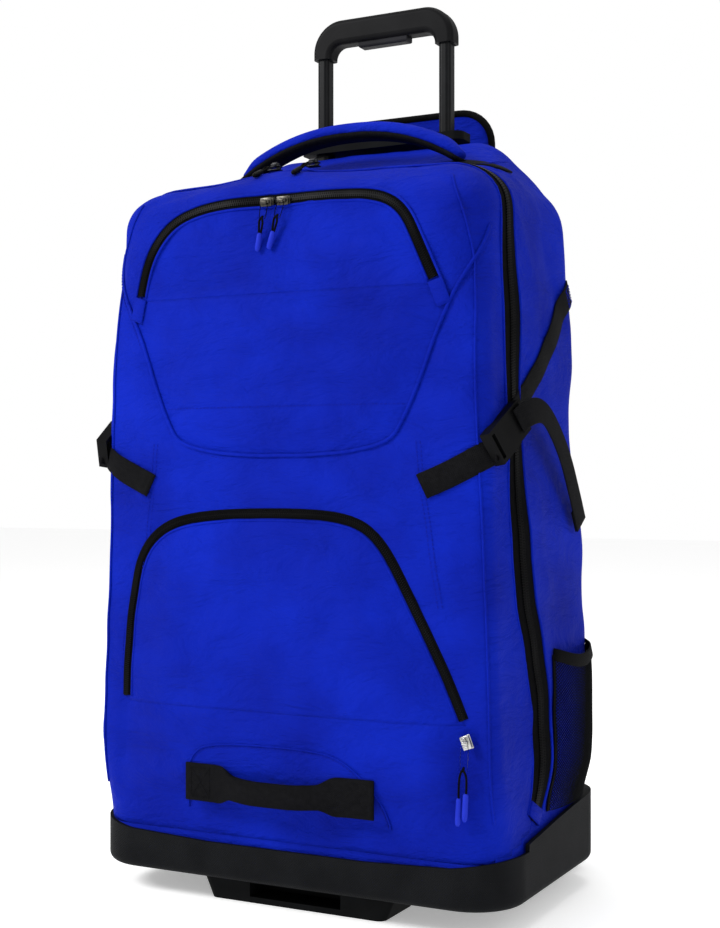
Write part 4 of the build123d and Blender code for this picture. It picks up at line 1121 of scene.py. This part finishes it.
class BAG_OT_mesh_pockets(bpy.types.Operator):
    """Stretch mesh bottle pockets with elastic tops"""
    bl_idname = "hockeybag.mesh_pockets"
    bl_label = "Mesh pockets"

    def execute(self, context):
        for name, sign in SIDES:
            low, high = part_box(f"mesh_pocket_{name}")
            y0, y1, z0, z1 = low[1] + 2 * MM, high[1] - 2 * MM, low[2], high[2] - 6 * MM
            outer = max(abs(low[0]), abs(high[0])) - 2 * MM

            def place(u, v):
                """Point of the net, from its front to its rear edge and from its foot to its top."""
                z = z0 + (z1 - z0) * v - 10 * MM * v * math.sin(math.pi * u)
                y = y0 + (y1 - y0) * u
                base = abs(on_side(sign, y, z)[0].x)
                belly = math.sin(math.pi * min(1.0, u * 1.02)) ** 0.6
                belly *= 0.25 + 0.75 * math.sin(math.pi * (0.08 + 0.62 * v))
                return Vector((sign * (base + 1.2 * MM + (outer - base) * belly), y, z))

            bm = bmesh.new()
            bmesh.ops.create_grid(bm, x_segments=33, y_segments=46, size=1.0)
            for vert in bm.verts:
                vert.co = place((vert.co.x + 1) / 2, (vert.co.y + 1) / 2)
            old = [e for e in bm.edges if not e.is_boundary]
            bmesh.ops.poke(bm, faces=bm.faces)
            old = [e for e in old if e.is_valid]
            bmesh.ops.dissolve_edges(bm, edges=old, use_verts=False)
            net = piece(f"bottle_pocket_net_{name}", bm, "mesh", "bag", (f"mesh_pocket_{name}",))
            wire = net.modifiers.new("Knitted net", "WIREFRAME")
            wire.thickness = 0.8 * MM
            wire.use_replace = True
            bm = bmesh.new()
            top = [place(i / 30, 1.0) for i in range(31)]
            sweep(bm, flat_outline(13 * MM, 2.0 * MM, -0.6 * MM), level_frames(top, Vector((sign, 0, 0.1))))
            for u in (0.0, 1.0):
                edge = [place(u, i / 24) for i in range(25)]
                rows = level_frames(edge, Vector((sign, 0, 0)))
                sweep(bm, flat_outline(7 * MM, 1.4 * MM, -0.2 * MM), rows)
            piece(f"bottle_pocket_elastic_{name}", bm, "binding", "bag", ())
        return {"FINISHED"}


class BAG_OT_harness(bpy.types.Operator):
    """Padded back, shoulder straps and the bound flap over them"""
    bl_idname = "hockeybag.harness"
    bl_label = "Harness"

    def execute(self, context):
        low, high = (Vector(c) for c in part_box("back_panel"))
        middle, half = (low + high) / 2, (high - low) / 2
        bm = cube_grid((44, 5, 84))
        for vert in bm.verts:
            p = round_box(vert.co, half, (40 * MM, half.y * 0.9, 40 * MM))
            if p.y > 0:
                rise = 1 - abs(p.x / half.x) ** 4
                seams = math.exp(-(((abs(p.x) - 62 * MM) / (9 * MM)) ** 2))
                across = math.exp(-(((p.z % (104 * MM)) - 52 * MM) / (9 * MM)) ** 2)
                seams += across * (1 if abs(p.x) > 62 * MM else 0.35)
                p.y -= 5 * MM * (1 - rise) + 7 * MM * min(1.0, seams)
            vert.co = p + middle
        relax(bm, 0.5)
        pad = piece("back_pad", bm, "air_mesh", "bag", ("back_panel",))
        ring = [(x * half.x, z * half.z) for x, z in ((-1, -1), (1, -1), (1, 1), (-1, 1))]
        line = even_path([Vector((x + middle.x, low.y + 6 * MM, z + middle.z)) for x, z in ring],
                         9 * MM, 0, True)
        line = [Vector((max(-half.x + 3 * MM, min(half.x - 3 * MM, p.x)), p.y, p.z)) for p in line]
        corner = 40 * MM
        for p in line:
            cx, cz = half.x - corner - 2 * MM, half.z - corner - 2 * MM
            dx, dz = abs(p.x) - cx, abs(p.z - middle.z) - cz
            if dx > 0 and dz > 0:
                scale = corner / math.hypot(dx, dz)
                p.x = math.copysign(cx + dx * scale, p.x)
                p.z = middle.z + math.copysign(cz + dz * scale, p.z - middle.z)
        bm = bmesh.new()
        sweep(bm, round_outline(3.4 * MM), level_frames(line, Vector((0, 1, 0)), True), ring=True)
        piece("back_pad_binding", bm, "binding", "bag")

        low, high = (Vector(c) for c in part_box("harness_flap"))
        middle, half = (low + high) / 2, (high - low) / 2
        bm = cube_grid((30, 3, 20))
        for vert in bm.verts:
            p = round_box(vert.co, half, (40 * MM, half.y * 0.9, 40 * MM))
            p.y *= 0.55 + 0.45 * (1 - max(abs(p.x / half.x), abs(p.z / half.z)) ** 6)
            vert.co = p + middle
        cover = piece("harness_cover", bm, "blue", "bag", ("harness_flap",))
        line = []
        corner = 38 * MM
        cx, cz = half.x - corner - 1 * MM, half.z - corner - 1 * MM
        for quarter, (sx, sz) in enumerate(((1, 1), (-1, 1), (-1, -1), (1, -1))):
            for k in range(9):
                angle = math.pi / 2 * (quarter + k / 8)
                line.append(Vector((sx * cx + corner * math.cos(angle), middle.y,
                                    middle.z + sz * cz + corner * math.sin(angle))))
        line = even_path(line, 7 * MM, 0, True)
        bm = bmesh.new()
        sweep(bm, round_outline(4.2 * MM), level_frames(line, Vector((0, 1, 0)), True), ring=True)
        piece("harness_cover_binding", bm, "binding", "bag")

        for name, sign in SIDES:
            low, high = (Vector(c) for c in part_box(f"shoulder_strap_{name}"))
            top = high.z - 8 * MM
            route = [(46, 0), (56, 90), (76, 180), (98, 260), (104, 350)]
            line = even_path([(sign * x * MM, low.y, top - d * MM) for x, d in route], 8 * MM, 2)
            rows = level_frames(line, Vector((0, 1, 0)))
            count = len(rows)
            thin = [0.35 + 0.65 * smooth_step(min(i, count - 1 - i), 0, 4) for i in range(count)]
            wide = [0.8 + 0.2 * smooth_step(min(i, count - 1 - i), 0, 5) for i in range(count)]
            shape = [
                (29 * MM * math.cos(a),
                 6.5 * MM + 6 * MM * math.copysign(abs(math.sin(a)) ** 0.55, math.sin(a)))
                for a in [2 * math.pi * k / 20 for k in range(20)]
            ]
            bm = bmesh.new()
            sweep(bm, shape, resized(rows, wide, thin))
            pad = piece(f"shoulder_pad_{name}", bm, "black_cloth", "bag", (f"shoulder_strap_{name}",))
            bm = bmesh.new()
            sweep(bm, flat_outline(WEBBING, 1.4 * MM, 11.4 * MM), rows[3:-3])
            piece(f"shoulder_webbing_{name}", bm, "webbing", "bag", ())
        return {"FINISHED"}


class BAG_OT_pouches(bpy.types.Operator):
    """Lining bags behind the two pocket fronts"""
    bl_idname = "hockeybag.pouches"
    bl_label = "Pocket linings"

    def execute(self, context):
        for name, marks in (("upper", UPPER_ZIP), ("lower", LOWER_ZIP)):
            low, high = (Vector(c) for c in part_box(f"{name}_pocket_pouch"))
            inset = [(max(low.x - 3 * MM, min(high.x + 3 * MM, x * MM)), z * MM + 5 * MM) for x, z in marks]
            inset = [(x, z) for x, z in inset if z > low.z + 20 * MM]
            corners = [(high.x - 4 * MM, low.z + 4 * MM), (low.x + 4 * MM, low.z + 4 * MM)]
            ring = even_path([(x, low.y + 2 * MM, z) for x, z in inset + corners], 12 * MM, 2, True)
            bm = bmesh.new()
            face = bm.faces.new([bm.verts.new(p) for p in ring])
            made = bmesh.ops.extrude_face_region(bm, geom=[face])["geom"]
            back = [g for g in made if isinstance(g, bmesh.types.BMVert)]
            bmesh.ops.translate(bm, vec=(0, high.y - low.y - 3 * MM, 0), verts=back)
            bmesh.ops.delete(bm, geom=[face], context="FACES")
            for vert in back:
                vert.co += Vector((noise.noise(vert.co * 30), 0, noise.noise(vert.co * 31))) * 3 * MM
            piece(f"{name}_pocket_lining", bm, "lining", "front_panel", (f"{name}_pocket_pouch",),
                  solidify=0.8 * MM)
        return {"FINISHED"}


def proud(name):
    """How far a pocket slider and its pull stand out to clear the stuffed cloth."""
    if name.startswith("main"):
        return Vector()
    pivot = Vector(joint(f"pull_{name}_swing")["pos_m"])
    near = [on_front(pivot.x + across * MM, pivot.z - drop * MM)[0].y for across in (-4, 0, 4)
            for drop in (0, 4, 8, 12, 16)]
    return Vector((0, min(0.0, min(near) - 2.2 * MM - pivot.y), 0))


def pull_frame(name, reach, lean):
    """Frame of a pull: X across it, Y away from its tip, Z out of the bag."""
    pivot = Vector(joint(f"pull_{name}_swing")["pos_m"]) + proud(name)
    drops = [reach * k / 11 for k in range(4, 12)]
    if name.startswith("main"):
        droop = min(math.atan2(pivot.z - on_top(pivot.x, pivot.y - d)[0].z - 3.2 * MM, d)
                    for d in drops)
        return Matrix.Translation(pivot) @ Matrix.Rotation(max(0.0, droop), 4, "X")
    tilt = max(0.0, *[math.atan2(pivot.y - on_front(pivot.x, pivot.z - d)[0].y + 3.4 * MM, d)
                      for d in drops])
    turn = Matrix(((1, 0, 0, 0), (0, 0, -1, 0), (0, 1, 0, 0), (0, 0, 0, 1)))
    return (Matrix.Translation(pivot) @ Matrix.Rotation(-tilt, 4, "X") @ turn
            @ Matrix.Rotation(math.radians(lean), 4, "Z"))


def slider_frame(name):
    """Frame at a slider's foot: Y along its zip, Z out of the bag."""
    low, high = (Vector(c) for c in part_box(f"slider_{name}"))
    out = Vector((0, 0, 1)) if name.startswith("main") else Vector((0, -1, 0))
    foot = (low + high) / 2 - out * abs((high - low).dot(out)) / 2 + proud(name)
    run = Vector(joint(f"slider_{name}_run")["axis"]).normalized()
    return frames_along([foot, foot + run * MM], [out, out])[0]


def cord_strand(name, points, base, body):
    """One strand of cord through points given in a pull's own frame, in mm."""
    line = bpy.data.curves.new(name, "CURVE")
    line.dimensions = "3D"
    line.bevel_depth = 1.1 * MM
    line.bevel_resolution = 3
    run = line.splines.new("NURBS")
    run.points.add(len(points) - 1)
    for knot, p in zip(run.points, points):
        knot.co = (*(base @ (Vector(p) * MM)), 1)
    run.order_u = 3
    run.use_endpoint_u = True
    thing = bpy.data.objects.new(name, line)
    bpy.context.scene.collection.objects.link(thing)
    line.materials.append(MATERIAL["binding"])
    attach(thing, body)


PULLS = {
    # lean in degrees, metal, finish of the cord end, and where each end hangs: across and up, in mm
    "upper_left": (-8.0, "slider", "tip", ((0.0, 0.0),)),
    "upper_right": (-15.0, "slider", "tip", ((0.0, 0.0),)),
    "lower": (-3.0, "puller", "tip", ((-3.2, 0.0), (3.4, 5.0))),
    "main_left": (0.0, "slider_black", "buckle", ((0.0, 0.0),)),
    "main_right": (0.0, "slider_black", "buckle", ((0.0, 0.0),)),
}


class BAG_OT_pulls(bpy.types.Operator):
    """Zip sliders and pullers with their cords and moulded ends"""
    bl_idname = "hockeybag.pulls"
    bl_label = "Zip pulls"

    def execute(self, context):
        for name, (lean, finish, end_finish, ends) in PULLS.items():
            body = f"pull_{name}"
            low, high = (Vector(c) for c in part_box(body))
            long = max(high - low) - 1.9 * MM
            base = pull_frame(name, long, lean)
            # slider: two wings, the post between them and the bridge
            foot = slider_frame(name)
            bm = bmesh.new()
            for centre, size in (((0, 0, 1.0), (9.6, 13.6, 1.6)), ((0, 0, 4.6), (9.0, 13.0, 1.7)),
                                 ((0, 4.2, 2.8), (4.0, 4.0, 2.6)), ((0, 0, 6.6), (3.2, 10.0, 2.8))):
                add_block(bm, foot @ Matrix.Translation(Vector(centre) * MM), Vector(size) * MM)
            piece(f"slider_body_{name}", bm, finish, f"slider_{name}", (f"slider_{name}",),
                  bevel=0.7 * MM)
            # metal tab, open in the middle for the cord
            stretch = 1.55 if name == "lower" else 1.0
            tab = [(x * MM, y * stretch * MM) for x, y in
                   [(3.6, -2.6), (4.0, -9.0), (3.4, -16.5), (1.6, -17.6), (-1.6, -17.6), (-3.4, -16.5),
                    (-4.0, -9.0), (-3.6, -2.6)]]
            bm = bmesh.new()
            face = bm.faces.new([bm.verts.new((x, y, -0.8 * MM)) for x, y in tab])
            bmesh.ops.inset_region(bm, faces=[face], thickness=2.4 * MM, use_boundary=True)
            bmesh.ops.delete(bm, geom=[face], context="FACES_ONLY")
            made = bmesh.ops.extrude_face_region(bm, geom=bm.faces[:], use_keep_orig=True)["geom"]
            risen = [g for g in made if isinstance(g, bmesh.types.BMVert)]
            bmesh.ops.translate(bm, vec=(0, 0, 1.6 * MM), verts=risen)
            turns = [2 * math.pi * k / 12 for k in range(12)]
            ring = [Vector((0, 1.9 * MM * math.cos(a) - 0.2 * MM, 1.9 * MM * math.sin(a))) for a in turns]
            sweep(bm, flat_outline(5.6 * MM, 1.0 * MM, -0.4 * MM),
                  frames_along(ring, [p.normalized() for p in ring], True), ring=True)
            bmesh.ops.transform(bm, matrix=base, verts=bm.verts)
            piece(f"puller_{name}", bm, finish, body, (body,), bevel=0.3 * MM)
            # cords from the tab's slot to the moulded ends
            eye = -14.5 * stretch
            tip_long = 26.0 if name == "lower" else 18.0
            bm = bmesh.new()
            for number, (across, up) in enumerate(ends):
                head = -(long / MM - tip_long) + up
                sides = (1, -1) if len(ends) == 1 else (math.copysign(0.4, across),)
                for side in sides:
                    word = "right" if side > 0 else "left"
                    cord_strand(f"pull_cord_{name}_{word}_{number}", [
                        (0, eye, -0.6), (side * 0.6, eye - 2.4, 1.8),
                        (side * 2.0 + across * 0.5, eye - 5, 1.4),
                        (side * 2.0 + across, (eye + head) / 2, 0.6),
                        (side * 0.8 + across, head - 2, 0)], base, body)
                rows = [Matrix.Translation((across * MM, (head - along) * MM, 0))
                        @ Matrix.Diagonal((wide, 1, wide, 1))
                        for wide, along in [(0.7, 0), (0.97, 1.6), (1, tip_long * 0.5), (1, tip_long * 0.8),
                                            (0.85, tip_long * 0.93), (0.45, tip_long)]]
                sweep(bm, round_outline(2.7 * MM, 0, 14), rows)
            bmesh.ops.transform(bm, matrix=base, verts=bm.verts)
            piece(f"cord_end_{name}", bm, end_finish, body)
        return {"FINISHED"}


class BAG_OT_finishes(bpy.types.Operator):
    """Finishes for the moulded and metal parts"""
    bl_idname = "hockeybag.finishes"
    bl_label = "Part finishes"

    def execute(self, context):
        finishes = {
            "base_tray": "tray", "front_foot": "foot", "wheel_housing": "foot", "axle": "axle",
            "hub": "hub", "tyre": "tread", "socket_tube": "tube", "bottom_bracket": "foot",
            "top_collar": "foot", "frame_sheet": "sheet", "trolley_tube": "tube",
            "trolley_grip": "grip", "release_button": "button", "buckle": "buckle",
        }
        for node, thing in frame["nodes"].items():
            key = next((k for k in finishes if node.startswith(k)), None)
            if key and not thing.hide_render:
                for spot in thing.material_slots:
                    spot.material = MATERIAL[finishes[key]]
        return {"FINISHED"}


class BAG_OT_stage(bpy.types.Operator):
    """Pale floor, soft lights and the camera"""
    bl_idname = "hockeybag.stage"
    bl_label = "Stage"

    def execute(self, context):
        scene = context.scene
        bm = bmesh.new()
        bmesh.ops.create_grid(bm, x_segments=2, y_segments=2, size=9.0)
        mesh = bpy.data.meshes.new("floor")
        bm.to_mesh(mesh)
        bm.free()
        floor = bpy.data.objects.new("floor", mesh)
        scene.collection.objects.link(floor)
        made, _, base = new_material("Pale studio floor", "#FFFFFF", 0.9)
        base.inputs["Emission Color"].default_value = linear("#FFFFFF")
        base.inputs["Emission Strength"].default_value = 0.35
        mesh.materials.append(made)
        world = bpy.data.worlds.new("Soft studio")
        scene.world = world
        world.use_nodes = True
        sky = world.node_tree.nodes["Background"]
        sky.inputs["Color"].default_value = linear("#FFFFFF")
        # the eye sees a white ground, while the bag is lit by a softer sky
        seen = add_node(world.node_tree, "ShaderNodeLightPath")
        bright = add_node(world.node_tree, "ShaderNodeMath", operation="MULTIPLY_ADD")
        world.node_tree.links.new(seen.outputs["Is Camera Ray"], bright.inputs[0])
        bright.inputs[1].default_value = 0.4
        bright.inputs[2].default_value = 0.6
        world.node_tree.links.new(bright.outputs[0], sky.inputs["Strength"])
        lamps = (
            ("key", (-1.9, -2.2, 2.4), 1.1, 92.0),
            ("fill", (2.4, -1.4, 1.6), 1.6, 14.0),
            ("top", (0.3, 0.1, 2.6), 1.2, 16.0),
        )
        for name, spot, size, power in lamps:
            data = bpy.data.lights.new(name, "AREA")
            data.size = size
            data.energy = power
            lamp = bpy.data.objects.new(name, data)
            lamp.location = spot
            lamp.rotation_euler = (Vector((0, 0, 0.45)) - Vector(spot)).to_track_quat("-Z", "Y").to_euler()
            scene.collection.objects.link(lamp)
        lens = bpy.data.cameras.new("camera")
        lens.lens = 58.2
        lens.shift_y = 0.0165
        lens.clip_end = 50.0
        camera = bpy.data.objects.new("camera", lens)
        camera.location = (0.744, -1.435, 0.4294)
        camera.rotation_euler = (math.radians(90), 0, math.radians(27.22))
        scene.collection.objects.link(camera)
        scene.camera = camera
        scene.view_settings.view_transform = "Standard"
        return {"FINISHED"}


class BAG_PT_panel(bpy.types.Panel):
    """Sidebar panel that lists the bag's parts"""
    bl_label = "Hockey Bag"
    bl_idname = "BAG_PT_panel"
    bl_space_type = "VIEW_3D"
    bl_region_type = "UI"
    bl_category = "Hockey Bag"

    def draw(self, context):
        for group in (context.scene.bag_cloth, context.scene.bag_zips):
            for key in group.__annotations__:
                self.layout.prop(group, key)
        for kind in STEPS:
            self.layout.operator(kind.bl_idname)


STEPS = (BAG_OT_stage, BAG_OT_cloth, BAG_OT_zips, BAG_OT_seams, BAG_OT_handles, BAG_OT_straps,
         BAG_OT_mesh_pockets, BAG_OT_harness, BAG_OT_pouches, BAG_OT_pulls, BAG_OT_finishes)
CLASSES = (BagCloth, BagZips) + STEPS + (BAG_PT_panel,)


def register():
    """Adds the classes and their settings."""
    for kind in CLASSES:
        bpy.utils.register_class(kind)
    bpy.types.Scene.bag_cloth = bpy.props.PointerProperty(type=BagCloth)
    bpy.types.Scene.bag_zips = bpy.props.PointerProperty(type=BagZips)


def unregister():
    """Removes the classes and their settings."""
    del bpy.types.Scene.bag_cloth
    del bpy.types.Scene.bag_zips
    for kind in reversed(CLASSES):
        bpy.utils.unregister_class(kind)


def main():
    """Builds the whole bag."""
    register()
    MATERIAL.update(make_materials())
    for kind in STEPS:
        group, name = kind.bl_idname.split(".")
        getattr(getattr(bpy.ops, group), name)()


if __name__ == "__main__":
    main()
